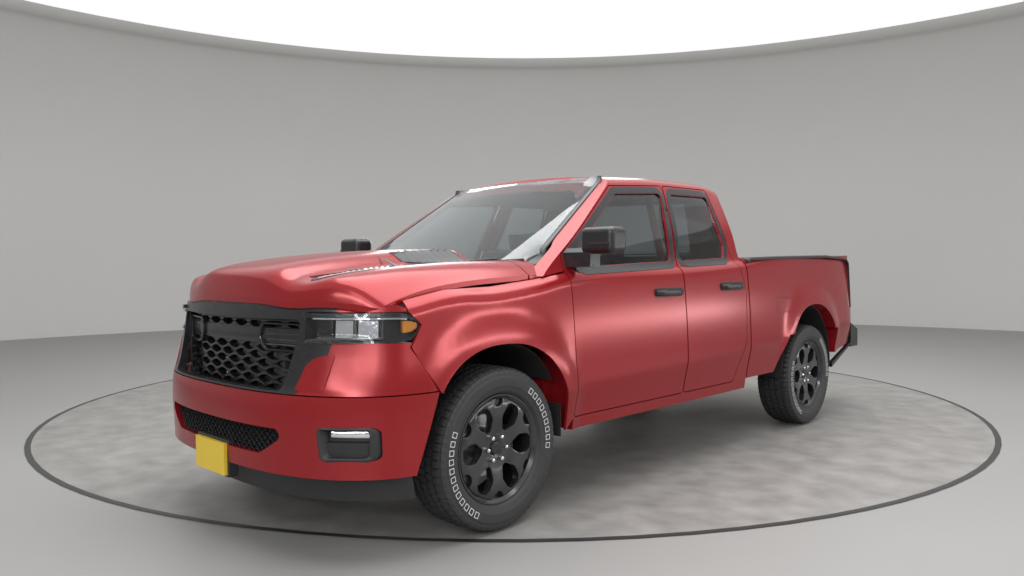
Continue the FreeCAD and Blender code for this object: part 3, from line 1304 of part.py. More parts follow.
def before_screen(behind=0.0):
    """Everything before the windscreen's outer face."""
    return slab(screen_grid(behind), BACK * -mm.overall_length)


def door_outline(front, rear):
    """Side outline of a door, inside its shut gap, from its named corners."""
    gap = mm.shut_gap / 2
    if front:
        return ((mm.door_front, mm.door_low), (mm.door_front, mm.pillar_foot_high),
                (mm.pillar_top, mm.pillar_top_high), (mm.door_top_split - gap, mm.door_top_high),
                (mm.door_split - gap, mm.belt_front_high), (mm.door_split - gap, mm.door_low))
    return ((mm.door_split + gap, mm.door_low), (mm.door_split + gap, mm.belt_front_high),
            (mm.door_top_split + gap, mm.door_top_high),
            (mm.door_top_rear, mm.door_top_rear_high),
            (mm.door_waist_rear + mm.window_band, mm.door_waist_high),
            (mm.door_bulge_rear, mm.door_bulge_high), (mm.door_rear, mm.crease_rear_high),
            (mm.door_rear_low, mm.door_low))


def grown(pairs, grow, radius):
    """A side outline moved outwards by a distance, as a face in the plane X = 0."""
    wire = side_outline(pairs, radius)
    if not grow:
        return Part.Face(wire)
    return Part.Face(wire.makeOffset2D(grow))


def door_prism(front, grow, near, far):
    face = grown(door_outline(front, not front), grow, mm.door_corner / 2)
    face.translate(LEFT * near)
    return face.extrude(LEFT * (far - near))


def belt_line(distance):
    """Height of the straight line where a door's lower slab meets its window frame."""
    share = (distance - mm.door_front) / (mm.cab_rear - mm.door_front)
    return mix(mm.belt_front_high, mm.belt_rear_high, share)


def below_belt():
    far = mm.bed_front + mm.overrun
    return ((0.0, 0.0), (0.0, belt_line(0.0)), (far, belt_line(far)), (far, 0.0))


def above_belt(extra=0.0):
    far = mm.bed_front + mm.overrun
    return ((0.0, belt_line(0.0) - extra), (0.0, 2 * mm.far_side), (far, 2 * mm.far_side),
            (far, belt_line(far) - extra))


def window_outline(front):
    """Side outline of a door's window, inset from the door's outline."""
    band = mm.window_band
    rise = mm.window_rise
    if front:
        start = mm.door_front + 2 * band
        end = mm.door_split - band
        return ((start, belt_line(start) + rise), (start, mm.pillar_foot_high + band / 4),
                (mm.pillar_top + band / 2, mm.pillar_top_high - band * 0.9),
                (mm.door_top_split - band, mm.door_top_high - band),
                (end, belt_line(end) + rise))
    start = mm.door_split + band
    end = mm.door_waist_rear - band
    return ((start, belt_line(start) + rise), (mm.door_top_split + band, mm.door_top_high - band),
            (mm.door_top_rear - band / 2, mm.door_top_rear_high - band),
            (mm.door_waist_rear - band / 4, belt_line(end) + 2 * band), (end, belt_line(end) + rise))


def make_door(front):
    """A door: the lower slab as thick as the whole door and the window frame above it."""
    first = mm.door_front if front else mm.door_split
    last = mm.door_split if front else mm.cab_rear
    lower = side_slab(first - mm.shut_gap, last + mm.window_band, mm.crease_half - mm.door_inner
                      + mm.door_thick)
    lower = lower.common(through_side(below_belt(), near=mm.door_inner))
    upper = cab_arch(mm.door_front - mm.window_band, mm.cab_rear - mm.shut_gap, 0.0, mm.frame_thick)
    upper = upper.common(through_side(above_belt(mm.panel_thick)))
    cutter = door_prism(front, -mm.shut_gap / 2, 0.0, mm.far_side)
    whole = lower.common(cutter).fuse(upper.common(cutter))
    window = Part.Face(side_outline(window_outline(front), mm.window_corner))
    whole = whole.cut([window.extrude(LEFT * mm.far_side)] + swing_relief(front))
    glass = cab_arch(mm.door_front - mm.window_band, mm.cab_rear - mm.shut_gap, mm.glass_in,
                     mm.glass_thick)
    pane_edge = side_outline(window_outline(front), mm.window_corner).makeOffset2D(-mm.seat_gap)
    pane = glass.common(Part.Face(pane_edge).extrude(LEFT * mm.far_side))
    return max(whole.Solids, key=lambda solid: solid.Volume), pane


def swing_relief(front):
    """What is shaved off a door behind its skin, so that its rear edge swings out past the cab."""
    edge = mm.door_split if front else mm.door_rear_low
    last = mm.cab_rear - mm.shut_gap
    gap = -mm.shut_gap / 2
    lower = side_slab(edge - mm.mirror_arm_wide, last + mm.window_band, 2 * mm.door_thick)
    lower.translate(LEFT * -mm.skin_lip)
    upper = cab_arch(edge - mm.mirror_arm_wide, last, mm.skin_lip, mm.frame_thick)
    inner = door_prism(front, gap, 0.0, mm.far_side)
    inner.translate(BACK * -mm.swing_low)
    frame = door_prism(front, gap, 0.0, mm.far_side)
    frame.translate(BACK * -mm.swing_high)
    lower = lower.common(through_side(below_belt())).cut(inner)
    if front:
        return [lower, upper.cut(frame)]
    corner = box_between((0.0, mm.door_top_rear - 2 * mm.swing_high,
                          mm.door_top_rear_high - mm.swing_high),
                         (mm.far_side, mm.cab_rear, mm.roof_high + mm.overrun))
    return [lower, upper.cut(frame), upper.common(corner)]


DOORS = {}
for door_name, is_front in (("front", True), ("rear", False)):
    door, pane = make_door(is_front)
    feature(f"door_{door_name}_left", door)
    feature(f"door_{door_name}_right", mirrored(door))
    feature(f"glass_{door_name}_left", pane)
    feature(f"glass_{door_name}_right", mirrored(pane))


def middle_pillar(side):
    """The leaning bar between the doors, inboard of their frames, from the belt into the roof."""
    levels = ((mm.inner_half, mm.door_split, belt_line(mm.door_split) - mm.post_thick),
              (mm.pillar_head_half, mm.door_top_split, mm.door_top_high + mm.panel_thick))
    wires = []
    for x, distance, height in levels:
        corners = [Vector(side * (x - across), back(distance + deep), height) for across, deep in (
            (0.0, -mm.post_thick / 2), (mm.post_thick / 2, -mm.post_thick / 2),
            (mm.post_thick / 2, mm.post_thick / 2), (0.0, mm.post_thick / 2))]
        wires.append(Part.makePolygon(corners + corners[:1]))
    return Part.makeLoft(wires, True, True)


def cheeks():
    """The corners between the hood's rear edge and the windscreen."""
    skin = between_faces(hood_grid(), hood_grid(mm.cross_high), face_over)
    pieces = []
    for side in (1, -1):
        low, high = sorted((side * mm.cheek_in, side * (mm.fender_top_half - mm.panel_thick)))
        pieces.append(skin.common(box_between((low, mm.hood_rear + mm.shut_gap, 0.0),
                                              (high, mm.door_front - mm.shut_gap, mm.far_side))))
    return pieces


def cab_upper():
    """Roof and pillars: an arch, cut by the windscreen and by both doors of each side."""
    arch = cab_arch(mm.screen_foot, mm.cab_rear, 0.0, mm.roof_thick)
    arch = arch.cut(before_screen(screen_deep(mm.screen_thick + mm.seat_gap)))
    arch = arch.common(through_side(above_belt(mm.panel_thick), near=-mm.far_side))
    for front in (True, False):
        arch = arch.cut(door_prism(front, mm.shut_gap / 2, -mm.far_side, mm.far_side))
    gap = mm.shut_gap
    beside_fender = through_side((
        (0.0, 0.0), (0.0, mm.fender_mid_high + gap), (mm.hood_rear, mm.cowl_side_high + gap),
        (mm.door_front, mm.belt_front_high + gap), (mm.door_front, 0.0)), near=-mm.far_side)
    return arch.cut(beside_fender)


def make_cab():
    rear = mm.cab_rear
    zone = through_side((
        (mm.door_front - mm.shut_gap, mm.sill_low), (rear, mm.sill_low),
        (rear, belt_line(rear)), (mm.door_front - mm.shut_gap, mm.belt_front_high)))
    side = side_slab(mm.firewall, rear, mm.crease_half - mm.inner_half + mm.post_thick)
    side = side.common(zone).cut([
        door_prism(True, mm.shut_gap / 2, 0.0, mm.far_side),
        door_prism(False, mm.shut_gap / 2, 0.0, mm.far_side)])
    floor = box_between((-mm.inner_half, mm.firewall, mm.floor_high),
                        (mm.inner_half, rear, mm.floor_high + mm.floor_thick))
    tunnel_space = box_between(
        (-mm.tunnel_half, mm.firewall - mm.overrun, mm.floor_high - mm.floor_thick),
        (mm.tunnel_half, mm.tunnel_end, mm.tunnel_high))
    tunnel = box_between(
        (-mm.tunnel_half - mm.floor_thick, mm.firewall, mm.floor_high),
        (mm.tunnel_half + mm.floor_thick, mm.tunnel_end + mm.floor_thick,
         mm.tunnel_high + mm.floor_thick))
    firewall = box_between((-mm.inner_half, mm.firewall, mm.floor_high),
                           (mm.inner_half, mm.firewall + mm.firewall_thick, mm.screen_foot_high))
    pieces = [firewall, tunnel, back_wall_shape(rear)]
    for make in (lambda shape: shape, mirrored):
        sill = box_between((mm.sill_inner, mm.firewall, mm.sill_low),
                           (mm.inner_half, rear, mm.floor_high))
        post = box_between((mm.inner_half - mm.post_thick, mm.firewall, mm.sill_low),
                           (mm.inner_half, mm.door_front + mm.post_thick,
                            belt_line(mm.door_front) + mm.panel_thick))
        pillar = box_between(
            (mm.inner_half - mm.post_thick, mm.door_split - mm.post_thick / 2, mm.floor_high),
            (mm.inner_half, mm.door_split + mm.post_thick / 2, belt_line(mm.door_split)
             + mm.panel_thick))
        pads = [box_between((mm.inner_half, place, mm.door_pad_low),
                            (mm.door_inner - mm.seat_gap, place + mm.cross_high,
                             mm.door_pad_low + mm.cross_high))
                for place in (mm.door_pad_front, mm.door_pad_rear)]
        pieces += [make(shape) for shape in [side, sill, post, pillar] + pads]
    pieces += [middle_pillar(1), middle_pillar(-1)]
    shell = floor.fuse(pieces).cut(tunnel_space)
    shell = shell.fuse([cab_upper()] + cheeks())
    return feature("cab_shell", max(shell.Solids, key=lambda solid: solid.Volume))


def back_wall_shape(rear):
    """The wall behind the rear seat, filling the arch, with its window cut."""
    points = [(x, z) for x, z in cab_section(rear - mm.back_wall_thick, mm.roof_thick / 2)][1:]
    outline = [(mm.inner_half, mm.floor_high), (mm.inner_half, points[0][1])] + points
    outline += [(-x, z) for x, z in reversed(points[:-1])]
    outline += [(-mm.inner_half, points[0][1]), (-mm.inner_half, mm.floor_high)]
    wall = front_prism(outline, rear - mm.back_wall_thick, rear)
    return wall.cut(back_window_prism(0.0))


def back_window_prism(shrink):
    half = mm.back_window_half - shrink
    low, high = mm.back_window_low + shrink, mm.back_window_high - shrink
    return front_prism(((-half, low), (half, low), (half - mm.window_band, high),
                        (-half + mm.window_band, high)),
                       mm.cab_rear - mm.overrun / 2, mm.cab_rear + mm.overrun, mm.window_corner)


make_cab()


def screen_edge(inset):
    """Front view of the line where the cab's arch meets the windscreen, as (x, z) pairs."""
    edge = []
    for index in range(1, len(SECTION_SHARES) + 1):
        low, high = mm.screen_foot, mm.door_split
        for _ in range(30):
            distance = (low + high) / 2
            x, z = cab_section(distance, inset)[index]
            if screen_point(x, z).y > back(distance):
                low = distance
            else:
                high = distance
        edge.append((x, z))
    return edge


def make_glass():
    high = mm.hood_ridge_rear_high + mm.cross_high
    edge = [(x, z) for x, z in screen_edge(mm.glass_in) if z > high]
    outline = [(mm.cheek_in - mm.shut_gap, mm.screen_foot_high + mm.cowl_thick),
               (mm.cheek_in - mm.shut_gap, high), (edge[0][0] + mm.glass_in, high)] + edge
    outline += [(-x, z) for x, z in reversed(outline[:-1])]
    screen = slab(screen_grid(), BACK * screen_deep(mm.screen_thick))
    screen = screen.common(front_prism(outline, 0.0, mm.cab_rear))
    feature("windscreen", max(screen.Solids, key=lambda solid: solid.Volume))
    pane = back_window_prism(mm.seat_gap).common(
        box_between((-mm.far_side, mm.cab_rear - mm.glass_in - mm.glass_thick, 0.0),
                    (mm.far_side, mm.cab_rear - mm.glass_in, 2 * mm.far_side)))
    feature("rear_window", pane)


make_glass()


def make_cowl():
    shape = box_between((-mm.inner_half, mm.cowl_front, mm.screen_foot_high - mm.cowl_thick),
                        (mm.inner_half, mm.firewall, mm.screen_foot_high))
    return feature("cowl", shape.cut(nodes["cab_shell"].Shape))


make_cowl()


# Load bed, tailgate, lamps and rear bumper

def make_bed():
    wall = mm.bed_wall
    floor = box_between((-mm.bed_inner_half, mm.bed_front, mm.bed_floor_high - mm.bed_floor_thick),
                        (mm.bed_inner_half, mm.bed_end, mm.bed_floor_high))
    head = box_between((-mm.bed_inner_half, mm.bed_front, mm.bed_floor_high - mm.bed_floor_thick),
                       (mm.bed_inner_half, mm.bed_front + wall, mm.bed_rail_front_high - mm.rail_cap))
    skin = side_slab(mm.bed_front - mm.shut_gap, mm.bed_tail + mm.shut_gap,
                     mm.crease_half - mm.bed_inner_half)
    zone = through_side((
        (mm.bed_front, mm.bed_low), (mm.bed_skirt_end, mm.bed_low),
        (mm.wheelbase - mm.rear_arch_half, mm.crease_rear_high),
        (mm.wheelbase + mm.rear_arch_half, mm.crease_rear_high),
        (mm.wheelbase + mm.rear_arch_half - mm.panel_thick, mm.bed_low + mm.cross_high),
        (mm.bed_tail, mm.bed_tail_high), (mm.bed_tail, mm.bed_rail_rear_high),
        (mm.bed_front, mm.bed_rail_front_high)), near=mm.bed_inner_half)
    side = skin.common(zone)
    housing = arch_cutter(mm.wheelbase, mm.rear_arch_half - mm.seat_gap, mm.rear_arch_rise,
                          mm.housing_half)
    housing = housing.common(box_between((0.0, mm.bed_front, mm.bed_floor_high - mm.bed_floor_thick),
                                         (mm.bed_inner_half + wall, mm.bed_end, mm.far_side)))
    tunnel = arch_cutter(mm.wheelbase, mm.rear_arch_half, mm.rear_arch_rise,
                         mm.housing_half + mm.housing_wall, -mm.housing_wall)
    lip = arch_cutter(*REAR_ARCH, mm.crease_half - mm.door_thick / 2)
    post = box_between((mm.gate_half, mm.bed_end - wall, mm.bed_floor_high - mm.bed_floor_thick),
                       (mm.bed_inner_half + wall, mm.bed_end, mm.bed_rail_front_high))
    pieces = [head]
    for make in (lambda shape: shape, mirrored):
        pieces += [make(side), make(housing), make(post)]
    bed = floor.fuse(pieces)
    bed = bed.cut([tunnel, mirrored(tunnel), lip, mirrored(lip)])
    bore_half = mm.bed_inner_half + mm.panel_thick + mm.seat_gap
    bore = Part.makeCylinder(mm.gate_pin_radius + mm.running_gap, 2 * bore_half,
                             Vector(-bore_half, back(mm.gate_axis), mm.gate_axis_high), LEFT)
    bed = bed.cut([tail_lamp_zone(0.0), mirrored(tail_lamp_zone(0.0)), bore])
    return feature("cargo_bed", max(bed.removeSplitter().Solids, key=lambda solid: solid.Volume))


def tail_lamp_zone(shrink):
    return box_between(
        (mm.tail_half - mm.lamp_tail_wide, mm.bed_tail - mm.lamp_tail_deep + shrink,
         mm.lamp_tail_low + shrink),
        (mm.far_side, mm.bed_tail + mm.overrun, mm.lamp_tail_high - shrink))


def make_tail_lamps():
    skin = side_slab(mm.bed_end - mm.overrun, mm.bed_tail + mm.shut_gap,
                     mm.crease_half - mm.bed_inner_half)
    zone = through_side(((0.0, 0.0), (mm.bed_tail, 0.0), (mm.bed_tail, mm.far_side),
                         (0.0, mm.far_side)))
    lamp = skin.common(zone).common(tail_lamp_zone(mm.seat_gap))
    return feature("tail_lamps", Part.makeCompound([lamp, mirrored(lamp)]))


def make_tailgate():
    body = new_body("tailgate")
    pad_outline(body, "gate_panel", "YZ_Plane", rectangle(
        "front_axle + gate_axis - gate_lip", "front_axle + gate_axis - gate_lip + gate_thick",
        "gate_low", "bed_rail_rear_high - shut_gap"),
        "2 * (tail_half - lamp_tail_wide - shut_gap)", midplane=True)
    pad_outline(body, "gate_foot", "YZ_Plane", rectangle(
        "front_axle + gate_axis - gate_lip", "front_axle + gate_axis + gate_foot",
        "gate_axis_high - gate_lip", "gate_low"),
        "2 * (tail_half - lamp_tail_wide - shut_gap)", midplane=True)
    pins = new_sketch(body, "gate_pin_sketch", "YZ_Plane")
    draw_circle(pins, "front_axle + gate_axis", "gate_axis_high", "gate_pin_radius")
    pad(body, "gate_pins", pins, "2 * (bed_inner_half + panel_thick)", midplane=True)
    return keep("tailgate", body)


def make_rear_bumper():
    """A stepped bar that bows out to the rear, against the rail ends, with a corner each side."""
    half = mm.rear_bumper_half
    tail = mm.overall_length - mm.front_overhang
    shares = spread(-1.0, 1.0, 13)
    outer = []
    for share in shares:
        y = tail - mm.rear_bumper_bow * abs(share) ** NOSE_POWER_SHARE
        outer.append(Vector(half * share, back(y), mm.rear_bumper_low))
    curve = Part.BSplineCurve()
    curve.interpolate(outer)
    front = mm.rear_bumper_front
    closing = Part.makePolygon([outer[-1], Vector(half, back(front), mm.rear_bumper_low),
                                Vector(-half, back(front), mm.rear_bumper_low), outer[0]])
    face = Part.Face(Part.Wire([curve.toShape()] + closing.Edges))
    bar = face.extrude(UP * (mm.rear_bumper_high - mm.rear_bumper_low))
    notch = box_between((-mm.receiver_outer / 2 - mm.shut_gap, front - mm.overrun,
                         mm.rear_bumper_low - mm.overrun),
                        (mm.receiver_outer / 2 + mm.shut_gap, tail + mm.overrun,
                         mm.receiver_axis + mm.receiver_outer / 2 + mm.shut_gap))
    end = through_side(((front, mm.rear_bumper_high + mm.cross_high),
                        (mm.bumper_end_rear, mm.rear_bumper_high),
                        (mm.bumper_end_rear - mm.cross_high, mm.rear_bumper_low + mm.cross_high),
                        (mm.bumper_end_front, mm.bumper_end_low),
                        (mm.bumper_end_front, mm.bumper_end_low + mm.wrap_thick),
                        (front, mm.rear_bumper_low + mm.wrap_thick)),
                       near=half - mm.rear_bumper_wall, far=half)
    bar = bar.fuse([end, mirrored(end)]).cut(notch)
    return feature("rear_bumper", bar.removeSplitter())


make_bed()
make_tail_lamps()
make_tailgate()
make_rear_bumper()


# Interior: dashboard with the column, steering wheel, front seats and rear bench

COLUMN_TILT_DEGREES = 24


def make_dash():
    outline = ((mm.dash_front, mm.dash_low), (mm.dash_knee, mm.dash_low),
               (mm.dash_rear, mm.dash_high - mm.column_length), (mm.dash_rear - mm.cross_high, mm.dash_high),
               (mm.dash_front, mm.dash_high))
    dash = through_side(outline, near=-mm.dash_half, far=mm.dash_half)
    direction = column_direction()
    start = column_point(-mm.column_length)
    column = Part.makeCylinder(mm.column_radius, mm.column_length - mm.steer_hub_thick / 2
                               - mm.seat_gap, start, direction)
    console = box_between((-mm.tunnel_half * 0.7, mm.dash_knee, mm.tunnel_high + mm.floor_thick),
                          (mm.tunnel_half * 0.7, mm.dash_rear, mm.dash_high - mm.column_length))
    return feature("dashboard", joined([dash, column, console]))


def column_direction():
    tilt = math.radians(COLUMN_TILT_DEGREES)
    return Vector(0, math.cos(tilt), math.sin(tilt))


def column_point(distance):
    """A point of the steering column's axis, measured from the wheel's middle."""
    centre = Vector(mm.driver_place, back(mm.column_back) + mm.column_length,
                    mm.column_high + mm.column_radius * 2)
    return centre + column_direction() * distance


def make_steering_wheel():
    direction = column_direction()
    centre = column_point(0.0)
    ring = Part.makeTorus(mm.steer_ring, mm.steer_grip, centre, direction)
    hub = Part.makeCylinder(mm.steer_hub, mm.steer_hub_thick,
                            centre - direction * (mm.steer_hub_thick / 2), direction)
    spokes = []
    for angle in (0, 180, 270):
        spoke = Part.makeBox(mm.steer_ring, 2 * mm.steer_spoke, mm.steer_grip,
                             Vector(0, -mm.steer_spoke, -mm.steer_grip / 2))
        spoke.rotate(Vector(0, 0, 0), UP, angle)
        spoke.Placement = Placement(centre, Rotation(UP, direction)).multiply(spoke.Placement)
        spokes.append(spoke)
    return feature("steering_wheel", joined([ring, hub] + spokes))


def seat_shape(x, half, front, rear, high, back_high):
    base = mm.floor_high + mm.floor_thick
    thick = mm.seat_back_thick
    lean = mm.seat_back_lean
    outline = ((front, base), (rear, base), (rear + lean * 0.3, high), (rear + lean, back_high),
               (rear + lean - thick, back_high), (rear - thick * 0.8, high), (front, high - thick / 8),
               (front - thick / 4, high - thick))
    return through_side(outline, mm.window_corner, near=x - half, far=x + half)


def make_seats():
    shapes = []
    for x in (mm.driver_place, -mm.driver_place):
        seat = seat_shape(x, mm.seat_half, mm.seat_front, mm.seat_rear, mm.seat_high,
                          mm.seat_back_high)
        rear = mm.seat_rear + mm.seat_back_lean
        head = through_side((
            (rear - mm.seat_back_thick, mm.seat_back_high - mm.window_corner),
            (rear, mm.seat_back_high - mm.window_corner), (rear + mm.window_corner, mm.head_high),
            (rear + mm.window_corner - mm.seat_back_thick * 0.8, mm.head_high)),
            mm.window_corner, near=x - mm.head_half, far=x + mm.head_half)
        tunnel = box_between((-mm.tunnel_half - mm.floor_thick - mm.seat_gap, 0.0, 0.0),
                             (mm.tunnel_half + mm.floor_thick + mm.seat_gap, mm.cab_rear,
                              mm.tunnel_high + mm.floor_thick + mm.seat_gap))
        shapes.append(seat.fuse(head).cut(tunnel).removeSplitter())
    feature("front_seats", Part.makeCompound(shapes))
    rear = mm.bench_rear - mm.seat_back_lean
    bench = seat_shape(0.0, mm.bench_half, mm.bench_front, rear - mm.window_corner, mm.bench_high,
                       mm.seat_back_high)
    feature("rear_seat", bench)


make_dash()
make_steering_wheel()
make_seats()


# Door mirrors: a head on an arm from the front corner of the window

def make_mirror():
    head = box_between((mm.mirror_in, mm.mirror_front, mm.mirror_low),
                       (mm.mirror_out, mm.mirror_rear, mm.mirror_high))
    head = head.makeFillet(mm.mirror_corner, head.Edges)
    arm_low = mm.mirror_arm_low - mm.mirror_arm_thick
    stalk = box_between((mm.belt_half - mm.frame_thick, mm.mirror_arm_back, arm_low),
                        (mm.mirror_in + mm.mirror_corner * 2, mm.mirror_arm_back + mm.mirror_arm_wide,
                         mm.mirror_low + mm.mirror_corner))
    stalk = stalk.cut(nodes["door_front_left"].Shape)
    stalk = stalk.common(door_prism(True, -mm.shut_gap / 2, 0.0, mm.far_side))
    return joined([head, max(stalk.Solids, key=lambda solid: solid.Volume)])


mirror_left = make_mirror()
feature("mirror_left", mirror_left)
feature("mirror_right", mirrored(mirror_left))


# Linings of the front wheel arches

def make_liners():
    """A lining that follows each arch, with a wall along the engine above the suspension."""
    rail_outer = mm.rail_place + mm.rail_width / 2
    skin = mm.flange_plate / 2
    outer = arch_cutter(*FRONT_ARCH, rail_outer)
    inner = arch_cutter(*FRONT_ARCH, rail_outer + skin, -skin)
    limit = box_between((rail_outer, -mm.far_side, mm.strut_top),
                        (mm.crease_half - mm.door_thick / 2, mm.far_side, mm.far_side))
    left = outer.cut(inner).common(limit)
    return feature("arch_liners", Part.makeCompound([left, mirrored(left)]))


make_liners()


# Checks every object, then writes one file for each node

def report_and_write():
    doc.recompute()
    faults = [item.Name for item in doc.Objects if {"Invalid", "Error"} & set(item.State)]
    for label, thing in nodes.items():
        shape = thing.Shape
        if shape.isNull() or not shape.isValid():
            faults.append(label)
            continue
        size = shape.BoundBox
        print(f"{label}: {len(shape.Solids)} solids, {shape.Volume / 1e6:.2f} litres,",
              f"x {size.XMin:.0f}..{size.XMax:.0f} y {size.YMin:.0f}..{size.YMax:.0f}",
              f"z {size.ZMin:.0f}..{size.ZMax:.0f}")
    if faults:
        raise RuntimeError("not sound: " + ", ".join(faults))
    for label, thing in nodes.items():
        thing.Shape.exportStep(os.path.join("parts", label + ".step"))
    print(len(nodes), "nodes")


report_and_write()
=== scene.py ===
# %% [markdown]
# # A pickup truck, dressed piece by piece
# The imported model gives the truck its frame: every panel, wheel and hinge is already in place. This lesson
# gives each of those pieces its finish and adds what a frame leaves out: tread, lamps, trim, seams and small
# fittings. Everything is in metres. X points to the truck's left, Y to its tail and Z up.

# %% Loading the frame
import math

import bmesh
import bpy
import numpy as np
from mathutils import Matrix, Vector
from mathutils.bvhtree import BVHTree


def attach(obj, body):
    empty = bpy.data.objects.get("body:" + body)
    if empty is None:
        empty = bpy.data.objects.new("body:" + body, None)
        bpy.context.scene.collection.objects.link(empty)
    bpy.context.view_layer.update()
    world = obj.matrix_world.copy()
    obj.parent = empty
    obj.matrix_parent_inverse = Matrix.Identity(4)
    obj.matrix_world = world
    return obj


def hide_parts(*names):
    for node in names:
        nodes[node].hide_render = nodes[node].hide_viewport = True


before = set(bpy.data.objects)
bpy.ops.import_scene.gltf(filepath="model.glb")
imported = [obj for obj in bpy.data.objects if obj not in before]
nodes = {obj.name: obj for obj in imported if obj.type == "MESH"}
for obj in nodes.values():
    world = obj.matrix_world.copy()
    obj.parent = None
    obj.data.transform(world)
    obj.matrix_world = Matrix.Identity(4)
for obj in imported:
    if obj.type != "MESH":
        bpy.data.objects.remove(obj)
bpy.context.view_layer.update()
print("nodes in the frame:", len(nodes))

# %% [markdown]
# The camera stands a little over three metres in front and to the left of the truck, at the height of its
# lamps. Its place was found by matching the two left wheels and the corners of the grille. A lens of 27 mm
# gives the wide look of the photograph. It is set first, because every later choice of detail depends on
# what is near to it.

# %% Camera
AXLE = -1.892
WHEELBASE = 3.569
CAMERA_PLACE = (3.700, -4.585, 1.307)
CAMERA_YAW, CAMERA_PITCH, CAMERA_ROLL = (math.radians(turn) for turn in (44.25, -1.62, -0.33))
camera = bpy.data.objects.new("camera", bpy.data.cameras.new("camera"))
camera.data.lens = 781.0 / 1024 * 36
camera.data.sensor_width = 36
camera.data.clip_end = 200
bpy.context.scene.collection.objects.link(camera)
camera.matrix_world = (Matrix.Translation(CAMERA_PLACE) @ Matrix.Rotation(CAMERA_YAW, 4, "Z")
                       @ Matrix.Rotation(math.pi / 2 + CAMERA_PITCH, 4, "X")
                       @ Matrix.Rotation(CAMERA_ROLL, 4, "Z"))
bpy.context.scene.camera = camera
print("lens", round(camera.data.lens, 2), "mm")

# %% [markdown]
# Paint, rubber, cast iron and leather differ in three ways: their colour wavers a little, their gloss
# wavers, and their surface has a grain. One helper builds all three from noise in the piece's own space,
# so that each finish below is only a handful of numbers. Anything that is the same all over is set on the
# shader itself.

# %% A helper for finishes
def link(tree, source, target):
    tree.links.new(source, target)


def make_finish(name, dark, light, roughness=(0.4, 0.5), mottle=6.0, grain=400.0, depth=0.1,
                grain_size=0.001, kind="noise", **sockets):
    """A finish whose colour runs between dark and light, with uneven gloss and a fine grain."""
    material = bpy.data.materials.new(name)
    material.use_nodes = True
    tree = material.node_tree
    shader = tree.nodes["Principled BSDF"]
    place = tree.nodes.new("ShaderNodeTexCoord").outputs["Object"]
    clouds = tree.nodes.new("ShaderNodeTexNoise")
    clouds.inputs["Scale"].default_value = mottle
    clouds.inputs["Detail"].default_value = 5
    link(tree, place, clouds.inputs["Vector"])
    shade = tree.nodes.new("ShaderNodeMix")
    shade.data_type = "RGBA"
    shade.inputs["A"].default_value = (*dark, 1)
    shade.inputs["B"].default_value = (*light, 1)
    link(tree, clouds.outputs["Fac"], shade.inputs["Factor"])
    link(tree, shade.outputs["Result"], shader.inputs["Base Color"])
    gloss = tree.nodes.new("ShaderNodeMapRange")
    gloss.inputs["To Min"].default_value, gloss.inputs["To Max"].default_value = roughness
    link(tree, clouds.outputs["Fac"], gloss.inputs["Value"])
    link(tree, gloss.outputs["Result"], shader.inputs["Roughness"])
    if kind == "cells":
        fine = tree.nodes.new("ShaderNodeTexVoronoi")
        height = fine.outputs["Distance"]
    else:
        fine = tree.nodes.new("ShaderNodeTexNoise")
        fine.inputs["Detail"].default_value = 3
        height = fine.outputs["Fac"]
    fine.inputs["Scale"].default_value = grain
    link(tree, place, fine.inputs["Vector"])
    bump = tree.nodes.new("ShaderNodeBump")
    bump.inputs["Strength"].default_value = depth
    bump.inputs["Distance"].default_value = grain_size
    link(tree, height, bump.inputs["Height"])
    link(tree, bump.outputs["Normal"], shader.inputs["Normal"])
    for socket, value in sockets.items():
        shader.inputs[socket.replace("_", " ")].default_value = value
    return material


print("one helper for all finishes")

# %% [markdown]
# The paint is a deep red under a clear coat. The base below has almost no shine of its own and a very fine
# grain, and nearly all of the gloss comes from the coat above it, which is close to mirror smooth.

# %% Paint
make_finish("red_paint", (0.50, 0.008, 0.010), (0.56, 0.011, 0.013), roughness=(0.42, 0.50), mottle=2.0,
            grain=2600.0, depth=0.02, grain_size=0.0002, Specular_IOR_Level=0.05, Coat_Weight=1.0,
            Coat_Roughness=0.006, Coat_IOR=1.65)
make_finish("red_shadow", (0.20, 0.006, 0.008), (0.24, 0.008, 0.010), roughness=(0.4, 0.5), mottle=3.0,
            grain=800.0, depth=0.1, Coat_Weight=0.4, Coat_Roughness=0.2)
print("paint ready")

# %% [markdown]
# Black trim comes in three kinds: polished mouldings, grained bumper plastic and flat rubbery parts. They
# are all nearly black, and it is their gloss and grain that tell them apart.

# %% Black trim, rubber and plastics
make_finish("black_gloss", (0.010, 0.010, 0.011), (0.015, 0.015, 0.017), roughness=(0.10, 0.16),
            mottle=9.0, grain=900.0, depth=0.03, Coat_Weight=0.5, Coat_Roughness=0.06)
make_finish("satin_black", (0.010, 0.0105, 0.012), (0.016, 0.0165, 0.019), roughness=(0.24, 0.32),
            mottle=8.0, grain=1400.0, depth=0.06)
make_finish("grained_black", (0.014, 0.014, 0.0155), (0.023, 0.023, 0.025), roughness=(0.44, 0.56),
            mottle=14.0, grain=900.0, depth=0.35, kind="cells", grain_size=0.0006)
make_finish("soft_black", (0.010, 0.010, 0.010), (0.017, 0.017, 0.018), roughness=(0.7, 0.85),
            mottle=12.0, grain=500.0, depth=0.3)
make_finish("tyre_black", (0.016, 0.0165, 0.018), (0.032, 0.032, 0.034), roughness=(0.50, 0.68),
            mottle=22.0, grain=260.0, depth=0.22, grain_size=0.0008)
make_finish("tyre_mark", (0.62, 0.62, 0.60), (0.74, 0.74, 0.72), roughness=(0.5, 0.6), mottle=60.0,
            grain=500.0, depth=0.1)
print("blacks ready")

# %% [markdown]
# Metals under the truck are cast, painted or plain. Cast iron has a coarse dull skin; the wheels are painted
# black over a smooth casting; lug nuts are chromed.

